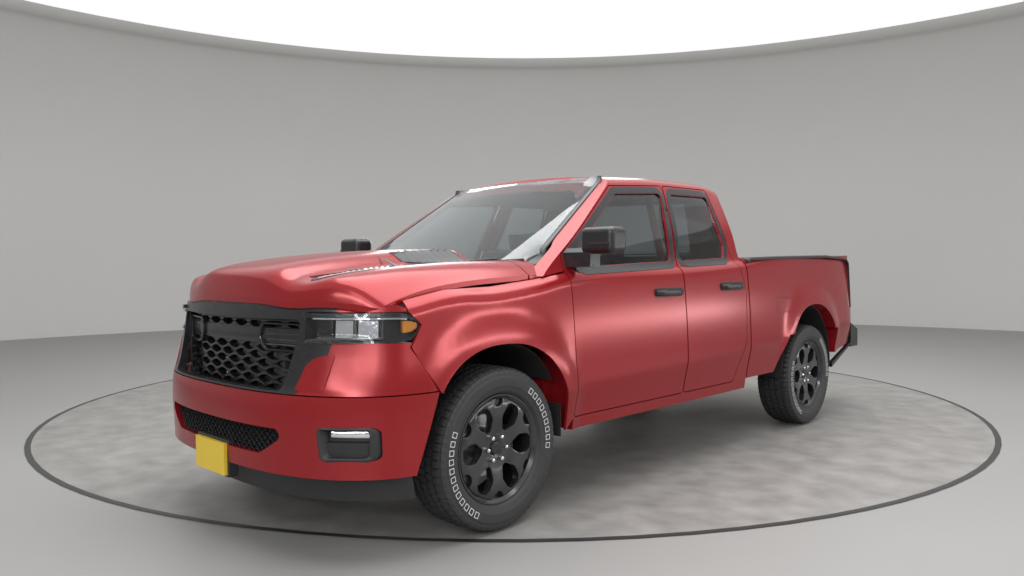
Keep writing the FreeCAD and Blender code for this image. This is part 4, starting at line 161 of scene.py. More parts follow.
# %% Metals
make_finish("wheel_black", (0.012, 0.0125, 0.014), (0.020, 0.021, 0.024), roughness=(0.20, 0.28),
            mottle=16.0, grain=700.0, depth=0.05, Metallic=0.2, Coat_Weight=0.6, Coat_Roughness=0.12)
make_finish("chrome", (0.72, 0.72, 0.73), (0.80, 0.80, 0.81), roughness=(0.05, 0.10), mottle=30.0,
            grain=900.0, depth=0.03, Metallic=1.0)
make_finish("cast_iron", (0.10, 0.098, 0.095), (0.17, 0.165, 0.16), roughness=(0.55, 0.75), mottle=18.0,
            grain=260.0, depth=0.5, Metallic=0.6)
make_finish("frame_paint", (0.018, 0.018, 0.019), (0.030, 0.030, 0.032), roughness=(0.42, 0.58),
            mottle=7.0, grain=320.0, depth=0.25)
make_finish("cast_alloy", (0.30, 0.30, 0.31), (0.42, 0.42, 0.43), roughness=(0.42, 0.6), mottle=9.0,
            grain=300.0, depth=0.35, Metallic=0.9)
make_finish("pipe_steel", (0.28, 0.27, 0.26), (0.46, 0.45, 0.43), roughness=(0.30, 0.48), mottle=11.0,
            grain=420.0, depth=0.2, Metallic=0.95)
make_finish("brake_disc", (0.38, 0.37, 0.36), (0.52, 0.51, 0.50), roughness=(0.28, 0.42), mottle=40.0,
            grain=500.0, depth=0.2, Metallic=1.0)
print("metals ready")

# %% [markdown]
# Glass is the one finish that lets light through. The side windows of this truck are tinted, so their glass
# takes up more light than the clear lens of a lamp. A faint unevenness keeps the reflections from looking
# like a drawing.

# %% Glass and lenses
make_finish("window_glass", (0.30, 0.34, 0.35), (0.33, 0.37, 0.38), roughness=(0.0, 0.01), mottle=1.5,
            grain=3.0, depth=0.02, Transmission_Weight=1.0, IOR=1.45)
make_finish("screen_glass", (0.52, 0.58, 0.60), (0.56, 0.62, 0.64), roughness=(0.0, 0.01), mottle=1.5,
            grain=3.0, depth=0.02, Transmission_Weight=1.0, IOR=1.45)
make_finish("lamp_lens", (0.93, 0.95, 0.97), (0.96, 0.97, 0.98), roughness=(0.0, 0.02), mottle=3.0,
            grain=5.0, depth=0.02, Transmission_Weight=1.0, IOR=1.3)
make_finish("amber_lens", (0.85, 0.30, 0.03), (0.95, 0.38, 0.05), roughness=(0.08, 0.15), mottle=20.0,
            grain=90.0, depth=0.4, kind="cells", Transmission_Weight=0.4)
make_finish("red_lens", (0.34, 0.006, 0.008), (0.44, 0.010, 0.012), roughness=(0.05, 0.10), mottle=20.0,
            grain=110.0, depth=0.3, kind="cells", Transmission_Weight=0.25, Coat_Weight=1.0)
make_finish("reflector", (0.70, 0.72, 0.75), (0.85, 0.86, 0.88), roughness=(0.05, 0.12), mottle=12.0,
            grain=60.0, depth=0.35, kind="cells", Metallic=1.0)
print("glass ready")

# %% [markdown]
# Inside, the seats are leather and the mouldings are soft plastic. Leather needs a cell-like grain, which is
# what the Voronoi texture gives; the plate is plain yellow enamel with nothing written on it.

# %% Interior and plate
make_finish("seat_leather", (0.020, 0.020, 0.022), (0.034, 0.033, 0.036), roughness=(0.38, 0.52),
            mottle=10.0, grain=420.0, depth=0.5, kind="cells", grain_size=0.0008, Sheen_Weight=0.1)
make_finish("dash_plastic", (0.022, 0.022, 0.025), (0.034, 0.034, 0.038), roughness=(0.5, 0.65),
            mottle=9.0, grain=600.0, depth=0.4, kind="cells", grain_size=0.0007)
make_finish("dash_trim", (0.12, 0.12, 0.13), (0.18, 0.18, 0.19), roughness=(0.25, 0.35), mottle=20.0,
            grain=800.0, depth=0.1, Metallic=0.7)
make_finish("dark_screen", (0.006, 0.007, 0.009), (0.010, 0.011, 0.014), roughness=(0.06, 0.10),
            mottle=5.0, grain=300.0, depth=0.02, Coat_Weight=1.0)
make_finish("roof_lining", (0.30, 0.29, 0.27), (0.36, 0.35, 0.33), roughness=(0.85, 0.95), mottle=12.0,
            grain=900.0, depth=0.4, Sheen_Weight=0.2)
make_finish("carpet", (0.018, 0.018, 0.019), (0.030, 0.030, 0.031), roughness=(0.9, 0.98), mottle=60.0,
            grain=1100.0, depth=0.8, Sheen_Weight=0.3)
make_finish("plate_yellow", (0.84, 0.62, 0.030), (0.90, 0.68, 0.045), roughness=(0.28, 0.38),
            mottle=14.0, grain=240.0, depth=0.08, Coat_Weight=0.4)
make_finish("bed_coating", (0.020, 0.020, 0.021), (0.032, 0.032, 0.034), roughness=(0.65, 0.82),
            mottle=30.0, grain=240.0, depth=0.9, kind="cells", grain_size=0.0015)
print("interior ready,", len(bpy.data.materials), "finishes in all")

# %% [markdown]
# Every node of the frame now takes one of these finishes. The panels that moulded pieces will replace later
# still get one, so that nothing is ever seen bare.

# %% Finishes on the frame
NODE_FINISHES = {
    "red_paint": ["hood", "front_fenders", "front_bumper", "nose_panels", "cab_shell", "cargo_bed",
                  "tailgate", "door_front_left", "door_front_right", "door_rear_left",
                  "door_rear_right"],
    "satin_black": ["grille_surround", "grille", "hood_vents", "rear_bumper", "mirror_left",
                    "mirror_right"],
    "grained_black": ["air_dam", "lower_grille", "cowl"],
    "soft_black": ["arch_liners"],
    "tyre_black": ["tyre_front_left", "tyre_front_right", "tyre_rear_left", "tyre_rear_right",
                   "spare_wheel"],
    "wheel_black": ["wheel_front_left", "wheel_front_right", "wheel_rear_left", "wheel_rear_right"],
    "cast_iron": ["knuckle_left", "knuckle_right", "rear_axle", "front_suspension"],
    "frame_paint": ["chassis_frame", "nose_support", "fuel_tank"],
    "cast_alloy": ["powertrain", "radiator"],
    "pipe_steel": ["exhaust"],
    "window_glass": ["glass_front_left", "glass_front_right", "glass_rear_left", "glass_rear_right",
                     "rear_window"],
    "screen_glass": ["windscreen"],
    "lamp_lens": ["headlamps"],
    "red_lens": ["tail_lamps"],
    "plate_yellow": ["plate_holder"],
    "dash_plastic": ["dashboard", "steering_wheel"],
    "seat_leather": ["front_seats", "rear_seat"],
}
for finish, names in NODE_FINISHES.items():
    for name in names:
        if name in nodes:
            nodes[name].data.materials.clear()
            nodes[name].data.materials.append(bpy.data.materials[finish])
print("nodes left without a finish:",
      sorted(set(nodes) - {name for names in NODE_FINISHES.values() for name in names}))

# %% [markdown]
# Most pieces are made from lists of points and faces. Three small helpers do that work. One makes a piece,
# gives it its finish and lets it ride on a body. One sweeps rings of points into a skin. The last rounds the
# hard edges, because on a real truck no moulded edge is perfectly sharp, and a rounded edge catches light.

# %% Helpers that make a piece
def finish_of(name):
    return bpy.data.materials[name]


def new_piece(name, points, faces, body, finish, smooth=40):
    """A mesh object that rides on a body; edges sharper than the smooth angle stay sharp."""
    mesh = bpy.data.meshes.new(name)
    mesh.from_pydata([tuple(point) for point in points], [], faces)
    mesh.update()
    mesh.polygons.foreach_set("use_smooth", [True] * len(mesh.polygons))
    mesh.set_sharp_from_angle(angle=math.radians(smooth))
    mesh.materials.append(finish_of(finish))
    piece = bpy.data.objects.new(name, mesh)
    bpy.context.scene.collection.objects.link(piece)
    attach(piece, body)
    return piece


def ring_faces(rings, count, closed=True, capped=False, looped=False):
    """Faces between rings of points that have the same count."""
    faces = []
    steps = count if closed else count - 1
    for ring in range(rings if looped else rings - 1):
        after = (ring + 1) % rings
        for index in range(steps):
            beside = (index + 1) % count
            faces.append((ring * count + index, ring * count + beside,
                          after * count + beside, after * count + index))
    if capped:
        faces.append(tuple(range(count))[::-1])
        faces.append(tuple((rings - 1) * count + index for index in range(count)))
    return faces


def soften(piece, width, segments=2, angle=35):
    """Rounds the hard edges of a piece."""
    bevel = piece.modifiers.new("rounded edges", "BEVEL")
    bevel.width = width
    bevel.segments = segments
    bevel.limit_method = "ANGLE"
    bevel.angle_limit = math.radians(angle)
    bevel.harden_normals = True
    return piece


SIDES = (("left", 1), ("right", -1))


def facing(faces, side):
    """Turns faces over for pieces on the right, whose points are mirrored."""
    return faces if side > 0 else [face[::-1] for face in faces]


print("helpers ready")

# %% [markdown]
# Trim, seams and lamps lie on the curved skin of the body. Instead of repeating that curve, a ray is sent
# from outside at a place given in two numbers, and what it hits is where the piece goes.

# %% Finding the skin
def skin_of(names):
    points, faces = [], []
    for name in names:
        mesh = nodes[name].data
        start = len(points)
        points += [vertex.co.copy() for vertex in mesh.vertices]
        faces += [[start + index for index in polygon.vertices] for polygon in mesh.polygons]
    return BVHTree.FromPolygons(points, faces)


SIDE_SKIN = skin_of(["front_fenders", "door_front_left", "door_rear_left", "cab_shell", "cargo_bed",
                     "front_bumper", "nose_panels", "headlamps", "tail_lamps", "rear_bumper"])
FRONT_SKIN = skin_of(["front_bumper", "nose_panels", "headlamps", "grille_surround", "hood"])
TOP_SKIN = skin_of(["hood", "cab_shell", "cargo_bed", "windscreen", "front_fenders", "hood_vents"])
REAR_SKIN = skin_of(["tailgate", "rear_bumper", "tail_lamps", "cargo_bed", "cab_shell"])


def hit(skin, start, way):
    place, normal, _, _ = skin.ray_cast(Vector(start), Vector(way))
    if place is None:
        place, normal, _, _ = skin.find_nearest(Vector(start) + Vector(way) * 1.2)
    if normal.dot(Vector(way)) > 0:
        normal = -normal
    return place, normal


def on_side(y, z, lift=0.0):
    """The point of the left side at a place along and above, lifted off the skin."""
    place, normal = hit(SIDE_SKIN, (2.2, y, z), (-1, 0, 0))
    return place + normal * lift


def on_front(x, z, lift=0.0):
    place, normal = hit(FRONT_SKIN, (x, -4.0, z), (0, 1, 0))
    return place + normal * lift


def on_top(x, y, lift=0.0):
    place, normal = hit(TOP_SKIN, (x, y, 3.2), (0, 0, -1))
    return place + normal * lift


def on_rear(x, z, lift=0.0):
    place, normal = hit(REAR_SKIN, (x, 4.0, z), (0, -1, 0))
    return place + normal * lift


def smooth_line(points, count):
    """Evenly spaced places on a smooth curve through a few points."""
    points = [np.array(point, float) for point in points]
    before = [2 * points[0] - points[1]] + points + [2 * points[-1] - points[-2]]
    fine = []
    for index in range(1, len(before) - 2):
        a, b, c, d = before[index - 1:index + 3]
        for share in np.linspace(0, 1, 24, endpoint=False):
            fine.append(0.5 * (2 * b + (c - a) * share + (2 * a - 5 * b + 4 * c - d) * share ** 2
                               + (3 * b - a - 3 * c + d) * share ** 3))
    fine.append(points[-1])
    fine = np.array(fine)
    reach = np.concatenate([[0], np.cumsum(np.linalg.norm(np.diff(fine, axis=0), axis=1))])
    wanted = np.linspace(0, reach[-1], count)
    return np.stack([np.interp(wanted, reach, fine[:, axis]) for axis in range(fine.shape[1])], 1)


def straight_line(points, count):
    """Evenly spaced places on straight runs through points."""
    points = np.array(points, float)
    reach = np.concatenate([[0], np.cumsum(np.linalg.norm(np.diff(points, axis=0), axis=1))])
    wanted = np.linspace(0, reach[-1], count)
    return np.stack([np.interp(wanted, reach, points[:, axis]) for axis in range(points.shape[1])], 1)


def band(name, line, width, lift, where, body, finish, side=1, shares=(-1, -0.7, 0, 0.7, 1),
         rise=(-0.6, 0.75, 1, 0.75, -0.6), closed=False):
    """A strip of trim that follows a line on the skin, a little proud of it."""
    line = np.array(line, float)
    ahead = np.roll(line, -1, 0) - np.roll(line, 1, 0) if closed else np.gradient(line, axis=0)
    ahead /= np.linalg.norm(ahead, axis=1)[:, None]
    across = np.stack([-ahead[:, 1], ahead[:, 0]], 1)
    widths = np.broadcast_to(np.asarray(width, float), (len(line),))
    points = []
    for place, aside, wide in zip(line, across, widths):
        for share, height in zip(shares, rise):
            spot = place + aside * share * wide / 2
            point = where(spot[0], spot[1], height * lift)
            points.append((point[0] * side, point[1], point[2]))
    faces = ring_faces(len(line), len(shares), closed=False, looped=closed)
    piece = new_piece(name, points, facing([face[::-1] for face in faces], side), body, finish)
    return piece


def patch(name, outline, rings, lift, where, body, finish, side=1, centre=None, edge_drop=0.004,
          dome=0.0):
    """A thin cover that fills a closed outline on the skin, its rim turned down into it."""
    outline = np.array(outline, float)
    middle = outline.mean(0) if centre is None else np.array(centre, float)
    levels = [(1.0, -edge_drop)] + [(share, lift + dome * (1 - share ** 2))
                                    for share in np.linspace(1.0, 0.0, rings, endpoint=False)]
    points = []
    for share, height in levels:
        for spot in outline:
            place = middle + (spot - middle) * share
            point = where(place[0], place[1], height)
            points.append((point[0] * side, point[1], point[2]))
    point = where(middle[0], middle[1], lift + dome)
    points.append((point[0] * side, point[1], point[2]))
    count = len(outline)
    faces = ring_faces(len(levels), count)
    last = (len(levels) - 1) * count
    faces += [(last + index, last + (index + 1) % count, len(points) - 1) for index in range(count)]
    return new_piece(name, points, facing(faces, side), body, finish)


def rounded_outline(corners, radius, steps=5):
    """A closed outline whose corners are rounded."""
    corners = [np.array(corner, float) for corner in corners]
    outline = []
    for index, corner in enumerate(corners):
        before = corners[index - 1] - corner
        after = corners[(index + 1) % len(corners)] - corner
        size = radius[index] if isinstance(radius, (list, tuple)) else radius
        reach = min(size, np.linalg.norm(before) * 0.48, np.linalg.norm(after) * 0.48)
        start = corner + before / np.linalg.norm(before) * reach
        end = corner + after / np.linalg.norm(after) * reach
        for share in np.linspace(0, 1, steps):
            outline.append((1 - share) ** 2 * start + 2 * share * (1 - share) * corner
                           + share ** 2 * end)
    return np.array(outline)


print("left side at the front door:", [round(value, 3) for value in on_side(-0.9, 1.0)])

# %% [markdown]
# A tyre is a turned shape, so it starts as a profile that is swept round the axle. The tread could be a
# bump pattern, but the front tyre is close to the camera and its blocks show against the light. So the
# grooves are real: where a groove runs, the points of the sweep are set lower. The rows of points are
# spaced so that every groove wall falls on a row, which keeps the walls upright.

# %% Tyre profile and tread
WHEELS = {"front_left": (0.870, AXLE, 1), "front_right": (-0.870, AXLE, -1),
          "rear_left": (0.865, AXLE + 3.569, 1), "rear_right": (-0.865, AXLE + 3.569, -1)}
AXLE_HIGH = 0.4055
TYRE_RADIUS = 0.4052
SIDEWALL = [(0.1050, 0.2580), (0.1065, 0.2700), (0.1130, 0.2745), (0.1190, 0.2790), (0.1225, 0.2850),
            (0.1262, 0.2868), (0.1290, 0.2960), (0.1325, 0.3100), (0.1328, 0.3112), (0.1348, 0.3125),
            (0.1370, 0.3380), (0.1362, 0.3560), (0.1352, 0.3572), (0.1330, 0.3680), (0.1334, 0.3700),
            (0.1300, 0.3800), (0.1262, 0.3895)]
RIBS = [(-0.1180, -0.0800), (-0.0705, -0.0300), (-0.0215, 0.0215), (0.0300, 0.0705), (0.0800, 0.1180)]
PITCHES = 64
STEPS = 6
GROOVE = 0.0085


def crown(across):
    """Radius of the tread's top at a place across it."""
    share = abs(across) / 0.118
    return TYRE_RADIUS - 0.0026 * share ** 2 - 0.0065 * max(share - 0.86, 0) / 0.14


def tread_columns():
    """Places across the tread with the rib they lie on, two points at every groove wall."""
    columns = []
    for rib, (low, high) in enumerate(RIBS):
        inner = [low, low + 0.0005, low + (high - low) * 0.33, low + (high - low) * 0.5,
                 low + (high - low) * 0.67, high - 0.0005, high]
        for index, across in enumerate(inner):
            top = 0 < index < len(inner) - 1
            columns.append((across, rib, top))
    return columns


def tread_high(turn, across, rib, top):
    if not top:
        return crown(across) - (GROOVE if 0 < rib < 4 or abs(across) < 0.1 else 0.004)
    phase = (turn + (0, 3, 1, 4, 2)[rib]) % STEPS
    low, high = RIBS[rib]
    share = (across - low) / (high - low)
    lateral = phase == 0 and (rib in (0, 4) or share < 0.4 or share > 0.6)
    sipe = phase == 3 and 0.2 < share < 0.8
    drop = GROOVE * (0.85 if rib in (0, 4) else 0.75) if lateral else (0.0025 if sipe else 0.0)
    return crown(across) - drop


def tyre_points():
    columns = tread_columns()
    rounds = PITCHES * STEPS
    rings = []
    for turn in range(rounds):
        angle = 2 * math.pi * turn / rounds
        ring = [(x, r) for x, r in SIDEWALL]
        block = turn % STEPS in (2, 3, 4)
        ring = [(x + (0.0022 if block and 0.372 < r < 0.392 else 0.0), r) for x, r in ring]
        tread = [(across, tread_high(turn, across, rib, top)) for across, rib, top in columns[::-1]]
        other = [(-x, r) for x, r in ring[::-1]]
        rings.append([(x, -r * math.sin(angle), r * math.cos(angle)) for x, r in ring + tread + other])
    return rings


tyre_rings = tyre_points()
print("one tyre:", len(tyre_rings), "rows round,", len(tyre_rings[0]), "points across")

# %% Tyres
def wheel_points(points, place):
    """Points drawn round the axle with the outer side along +X, moved to a wheel of the truck."""
    x, y, side = place
    return [(x + side * point[0], y + point[1], AXLE_HIGH + point[2]) for point in points]


for name, place in WHEELS.items():
    flat = [point for ring in tyre_rings for point in ring]
    faces = ring_faces(len(tyre_rings), len(tyre_rings[0]), closed=False, looped=True)
    tyre = new_piece("tread_tyre_" + name, wheel_points(flat, place),
                     facing([face[::-1] for face in faces], place[2]), "wheel_" + name, "tyre_black",
                     smooth=32)
    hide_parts("tyre_" + name)
print("tyres ready, faces each:", len(faces))

# %% [markdown]
# The sidewall carries raised pale marks. The real ones spell words; here they are plain bars in two arcs,
# with the same weight and place, because no lettering belongs on a part that anyone may use.

# %% Sidewall marks
def sidewall_x(radius):
    xs, rs = zip(*SIDEWALL)
    return float(np.interp(radius, rs, xs))


def mark_bar(angle, wide, low, high, lift=0.0009):
    """A raised bar on the sidewall, as eight points: its foot and its top."""
    points = []
    for height in (-0.001, lift):
        for radius, turn in ((low, -wide), (low, wide), (high, wide), (high, -wide)):
            spot = angle + turn / radius
            points.append((sidewall_x(radius) + height, radius * math.sin(spot),
                           radius * math.cos(spot)))
    return points


BAR_FACES = [(4, 5, 6, 7), (0, 1, 5, 4), (1, 2, 6, 5), (2, 3, 7, 6), (3, 0, 4, 7)]


def make_marks(name, place):
    points, faces = [], []
    for first, count in ((math.radians(38), 9), (math.radians(212), 12)):
        for index in range(count):
            angle = first + index * math.radians(7.2)
            for wide, low, high in ((0.0135, 0.3195, 0.3222), (0.0135, 0.3458, 0.3485)):
                start = len(points)
                points += mark_bar(angle, wide, low, high)
                faces += [tuple(start + corner for corner in face) for face in BAR_FACES]
            for turn in (-0.0120, 0.0120):
                start = len(points)
                points += mark_bar(angle + turn / 0.334, 0.0016, 0.3222, 0.3458)
                faces += [tuple(start + corner for corner in face) for face in BAR_FACES]
    return new_piece(name, wheel_points(points, place), facing(faces, place[2]),
                     "wheel_" + name.split("marks_")[1], "tyre_mark", smooth=20)


for name, place in WHEELS.items():
    make_marks("tyre_marks_" + name, place)
print("marks on", len(WHEELS), "tyres")

# %% [markdown]
# The wheel has six spokes that fork before they reach the rim, with a half-moon pocket in each fork and a
# five-sided opening between neighbours. Drawing that net of faces by hand would be slow. It is quicker to
# turn a dished disc, cut the openings and pockets with boolean cutters, as a casting's cores would, and
# round the edges with a bevel.

# %% Wheel blanks and cutters
def loose_object(name, points, faces):
    mesh = bpy.data.meshes.new(name)
    mesh.from_pydata([tuple(point) for point in points], [], faces)
    thing = bpy.data.objects.new(name, mesh)
    bpy.context.scene.collection.objects.link(thing)
    return thing


def turned(profile, rounds=96):
    """Points and faces of a closed profile of (along, radius) pairs turned about X."""
    points = []
    for turn in range(rounds):
        angle = 2 * math.pi * turn / rounds
        points += [(x, r * math.sin(angle), r * math.cos(angle)) for x, r in profile]
    faces = []
    count = len(profile)
    for turn in range(rounds):
        after = (turn + 1) % rounds
        for index in range(count):
            beside = (index + 1) % count
            faces.append((turn * count + index, after * count + index,
                          after * count + beside, turn * count + beside))
    return points, faces


def cutter_points(outline, near, far, angle):
    """A prism along X whose outline is given as (outwards, sideways) from the hub."""
    points = []
    for depth, grow in ((near, 0.0), (far, 0.0)):
        for out, across in outline:
            radius, turn = math.hypot(out, across), math.atan2(across, out) + angle
            points.append((depth, radius * math.sin(turn), radius * math.cos(turn)))
    count = len(outline)
    faces = ring_faces(2, count)
    faces.append(tuple(range(count))[::-1])
    faces.append(tuple(range(count, 2 * count)))
    return points, faces


DISH = [(0.084, 0.034), (0.088, 0.052), (0.087, 0.074), (0.095, 0.105), (0.103, 0.150), (0.107, 0.200),
        (0.104, 0.240), (0.100, 0.2475), (0.066, 0.2475), (0.060, 0.200), (0.056, 0.120),
        (0.052, 0.070), (0.050, 0.034)]
OPENING = rounded_outline([(0.098, -0.010), (0.150, -0.050), (0.205, -0.047), (0.232, -0.028),
                           (0.232, 0.028), (0.205, 0.047), (0.150, 0.050), (0.098, 0.010)], 0.010, 4)
POCKET = [(0.247 - 0.036 * math.cos(turn), 0.036 * math.sin(turn))
          for turn in np.linspace(-math.pi * 0.62, math.pi * 0.62, 15)]
points, faces = turned(DISH)
blank = loose_object("wheel_blank", points, faces)
cut_points, cut_faces = [], []
for spoke in range(6):
    for outline, near, far, shift in ((OPENING, 0.02, 0.15, 0.5), (POCKET, 0.078, 0.15, 0.0)):
        points, faces = cutter_points(outline, near, far, (spoke + shift) * math.pi / 3)
        start = len(cut_points)
        cut_points += points
        cut_faces += [tuple(start + corner for corner in face) for face in faces]
cutters = loose_object("wheel_cutters", cut_points, cut_faces)
for thing in (blank, cutters):
    shape = bmesh.new()
    shape.from_mesh(thing.data)
    bmesh.ops.recalc_face_normals(shape, faces=shape.faces)
    shape.to_mesh(thing.data)
    shape.free()
cut = blank.modifiers.new("openings", "BOOLEAN")
cut.operation = "DIFFERENCE"
cut.solver = "EXACT"
cut.object = cutters
edge = blank.modifiers.new("cast edges", "BEVEL")
edge.width = 0.0028
edge.segments = 2
edge.limit_method = "ANGLE"
edge.angle_limit = math.radians(32)
bpy.context.view_layer.update()
cast = bpy.data.meshes.new_from_object(blank.evaluated_get(bpy.context.evaluated_depsgraph_get()))
bpy.data.objects.remove(blank)
bpy.data.objects.remove(cutters)
print("wheel face:", len(cast.polygons), "faces")

# %% Rims, spokes, nuts and brakes
BARREL = [(0.1140, 0.2700), (0.1140, 0.2640), (0.1060, 0.2560), (0.0980, 0.2480), (0.0500, 0.2440),
          (-0.1060, 0.2440), (-0.1140, 0.2560), (-0.1140, 0.2700), (-0.1060, 0.2710),
          (-0.1040, 0.2530), (0.1030, 0.2530), (0.1060, 0.2710)]
CAP = [(0.080, 0.0001), (0.0930, 0.0001), (0.0940, 0.020), (0.0920, 0.031), (0.0860, 0.0335),
       (0.080, 0.0335)]
NUT_CIRCLE = 0.0620


def nut_points(angle):
    """A hexagonal nut with a domed top."""
    points = []
    for along, radius in ((0.082, 0.0112), (0.103, 0.0112), (0.107, 0.0085), (0.109, 0.0040)):
        for corner in range(12):
            turn = 2 * math.pi * corner / 12
            sharp = 1.0 if corner % 2 == 0 or along > 0.104 else 0.90
            points.append((along, NUT_CIRCLE * math.sin(angle) + radius * sharp * math.sin(turn),
                           NUT_CIRCLE * math.cos(angle) + radius * sharp * math.cos(turn)))
    faces = [face[::-1] for face in ring_faces(4, 12)]
    faces.append(tuple(3 * 12 + index for index in range(12))[::-1])
    return points, faces


def brake_profile():
    return [(-0.0300, 0.100), (-0.0300, 0.156), (-0.0220, 0.156), (-0.0220, 0.150), (-0.0150, 0.150),
            (-0.0150, 0.156), (-0.0070, 0.156), (-0.0070, 0.100), (0.030, 0.096), (0.048, 0.090),
            (0.048, 0.032), (-0.034, 0.032), (-0.034, 0.066), (-0.0300, 0.070)]


for name, place in WHEELS.items():
    body = "wheel_" + name
    points, faces = turned(BARREL, 120)
    barrel = new_piece("rim_" + name, wheel_points(points, place), facing(faces, place[2]), body,
                       "wheel_black")
    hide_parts("wheel_" + name)
    points = [vertex.co[:] for vertex in cast.vertices]
    faces = [tuple(polygon.vertices) for polygon in cast.polygons]
    new_piece("spokes_" + name, wheel_points(points, place), facing(faces, place[2]), body,
              "wheel_black", smooth=30)
    points, faces = turned(CAP, 48)
    soften(new_piece("centre_cap_" + name, wheel_points(points, place), facing(faces, place[2]), body,
                     "black_gloss"), 0.001)
    points, faces = [], []
    for nut in range(6):
        nut_corners, nut_faces = nut_points((nut + 0.5) * math.pi / 3)
        faces += [tuple(len(points) + corner for corner in face) for face in nut_faces]
        points += nut_corners
    new_piece("lug_nuts_" + name, wheel_points(points, place), facing(faces, place[2]), body,
              "chrome", smooth=25)
    points, faces = turned(brake_profile(), 72)
    new_piece("brake_disc_" + name, wheel_points(points, place), facing(faces, place[2]), body,
              "brake_disc")
print("wheels ready:", len(WHEELS))

# %% [markdown]
# The grille is the most looked-at part of the nose. Its stretched honeycomb is really a stack of wavy bars:
# each bar swings up and down, every second one is shifted by half a wave, and where a crest meets a trough
# they touch. Sweeping bars is far simpler than cutting cells out of a plate, and each bar keeps a chamfered
# front that catches the light.

# %% Sheets and wavy bars
def slab_piece(name, front, back, body, finish, side=1, smooth=40):
    """A closed sheet between two grids of points with the same rows and columns."""
    rows, columns = len(front), len(front[0])
    points = [point for row in front for point in row] + [point for row in back for point in row]
    points = [(point[0] * side, point[1], point[2]) for point in points]
    count = rows * columns
    faces = []
    for row in range(rows - 1):
        for column in range(columns - 1):
            a = row * columns + column
            faces.append((a, a + 1, a + columns + 1, a + columns))
            faces.append((count + a, count + a + columns, count + a + columns + 1, count + a + 1))
    rim = ([column for column in range(columns)]
           + [row * columns + columns - 1 for row in range(1, rows)]
           + [(rows - 1) * columns + column for column in range(columns - 2, -1, -1)]
           + [row * columns for row in range(rows - 2, 0, -1)])
    for here, there in zip(rim, rim[1:] + rim[:1]):
        faces.append((here, count + here, count + there, there))
    piece = new_piece(name, points, faces, body, finish, smooth)
    shape = bmesh.new()
    shape.from_mesh(piece.data)
    bmesh.ops.recalc_face_normals(shape, faces=shape.faces)
    shape.to_mesh(piece.data)
    shape.free()
    return piece


NOSE_PLAN = [(x, on_front(x, 1.125)[1]) for x in np.linspace(0, 0.72, 25)]


def nose_y(x, z=1.0):
    """How far forward the nose is at a place across."""
    across, along = zip(*NOSE_PLAN)
    return float(np.interp(abs(x), across, along))


def wave(x, period, phase, height):
    swing = math.sin(2 * math.pi * (x / period + phase))
    return height * max(-1.0, min(1.0, 1.25 * swing))


def wavy_bars(name, low, high, half_at, pitch, period, thick, front, deep, finish, count=150,
              sway=0.2, reach=nose_y):
    """A stack of wavy bars between two heights; half_at gives the half width at a height."""
    points, faces = [], []
    rows = int(round((high - low) / pitch))
    for row in range(rows + 1):
        level = low + (high - low) * row / rows
        half = half_at(level)
        start = len(points)
        stations = np.linspace(-half, half, count)
        for x in stations:
            swing = wave(x, period, row % 2 / 2, 1.0)
            z = min(max(level + swing * pitch * sway, low), high)
            meet = pitch * (0.5 - sway) - thick / 2
            above = z + thick / 2 + meet * max(0.0, 4 * swing - 3)
            below = z - thick / 2 - meet * max(0.0, -4 * swing - 3)
            y = reach(x) + front
            points += [(x, y + deep, below), (x, y + 0.004, below), (x, y, below + 0.003),
                       (x, y + 0.001, above - 0.001), (x, y + 0.006, above), (x, y + deep, above)]
        bar = ring_faces(count, 6, capped=True)
        faces += [tuple(start + corner for corner in face) for face in bar]
    return new_piece(name, points, faces, "truck_body", finish, smooth=50)


def grille_half(z):
    return float(np.interp(z, (0.715, 0.9, 1.075), (0.552, 0.582, 0.596)))


bars = wavy_bars("grille_bars", 0.728, 1.062, grille_half, 0.0371, 0.138, 0.0135, 0.020, 0.036,
                 "black_gloss", sway=0.14)
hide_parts("grille")
print("grille bars:", len(bars.data.polygons), "faces")

# %% [markdown]
# A smooth bar crosses the upper grille, where the real one carries letters; here it stays bare. At each of
# its ends sits a bezel with four slats, and a rounded rim frames the whole opening.

# %% Grille rim, cross bar and bezels
def sweep(name, path, section, body, finish, closed=False, side=1, smooth=45):
    """A section of (outward, up) offsets carried along a path of points; outward is -Y."""
    points = []
    for index, place in enumerate(path):
        for out, up in section:
            points.append(((place[0]) * side, place[1] - out, place[2] + up))
    faces = ring_faces(len(path), len(section), capped=not closed, looped=closed)
    piece = new_piece(name, points, faces, body, finish, smooth)
    shape = bmesh.new()
    shape.from_mesh(piece.data)
    bmesh.ops.recalc_face_normals(shape, faces=shape.faces)
    shape.to_mesh(piece.data)
    shape.free()
    return piece


def rim_piece(name, outline, inner, outer, near, far, finish, body="truck_body",
              reach=nose_y, side=1):
    """A frame round an opening of the nose: its section runs from inside to outside, far back to proud."""
    outline = np.array(outline, float)
    middle = outline.mean(0)
    grow = []
    for spot in outline:
        way = spot - middle
        grow.append(way / np.linalg.norm(way))
    points = []
    section = ((inner, far), (inner, near + 0.004), (inner + 0.004, near), (outer - 0.006, near),
               (outer, near + 0.005), (outer, far))
    for spot, way in zip(outline, grow):
        for offset, deep in section:
            place = spot + way * offset
            points.append((place[0] * side, reach(place[0], place[1]) + deep, place[1]))
    faces = ring_faces(len(outline), len(section), looped=True)
    piece = new_piece(name, points, faces, body, finish)
    shape = bmesh.new()
    shape.from_mesh(piece.data)
    bmesh.ops.recalc_face_normals(shape, faces=shape.faces)
    shape.to_mesh(piece.data)
    shape.free()
    return piece


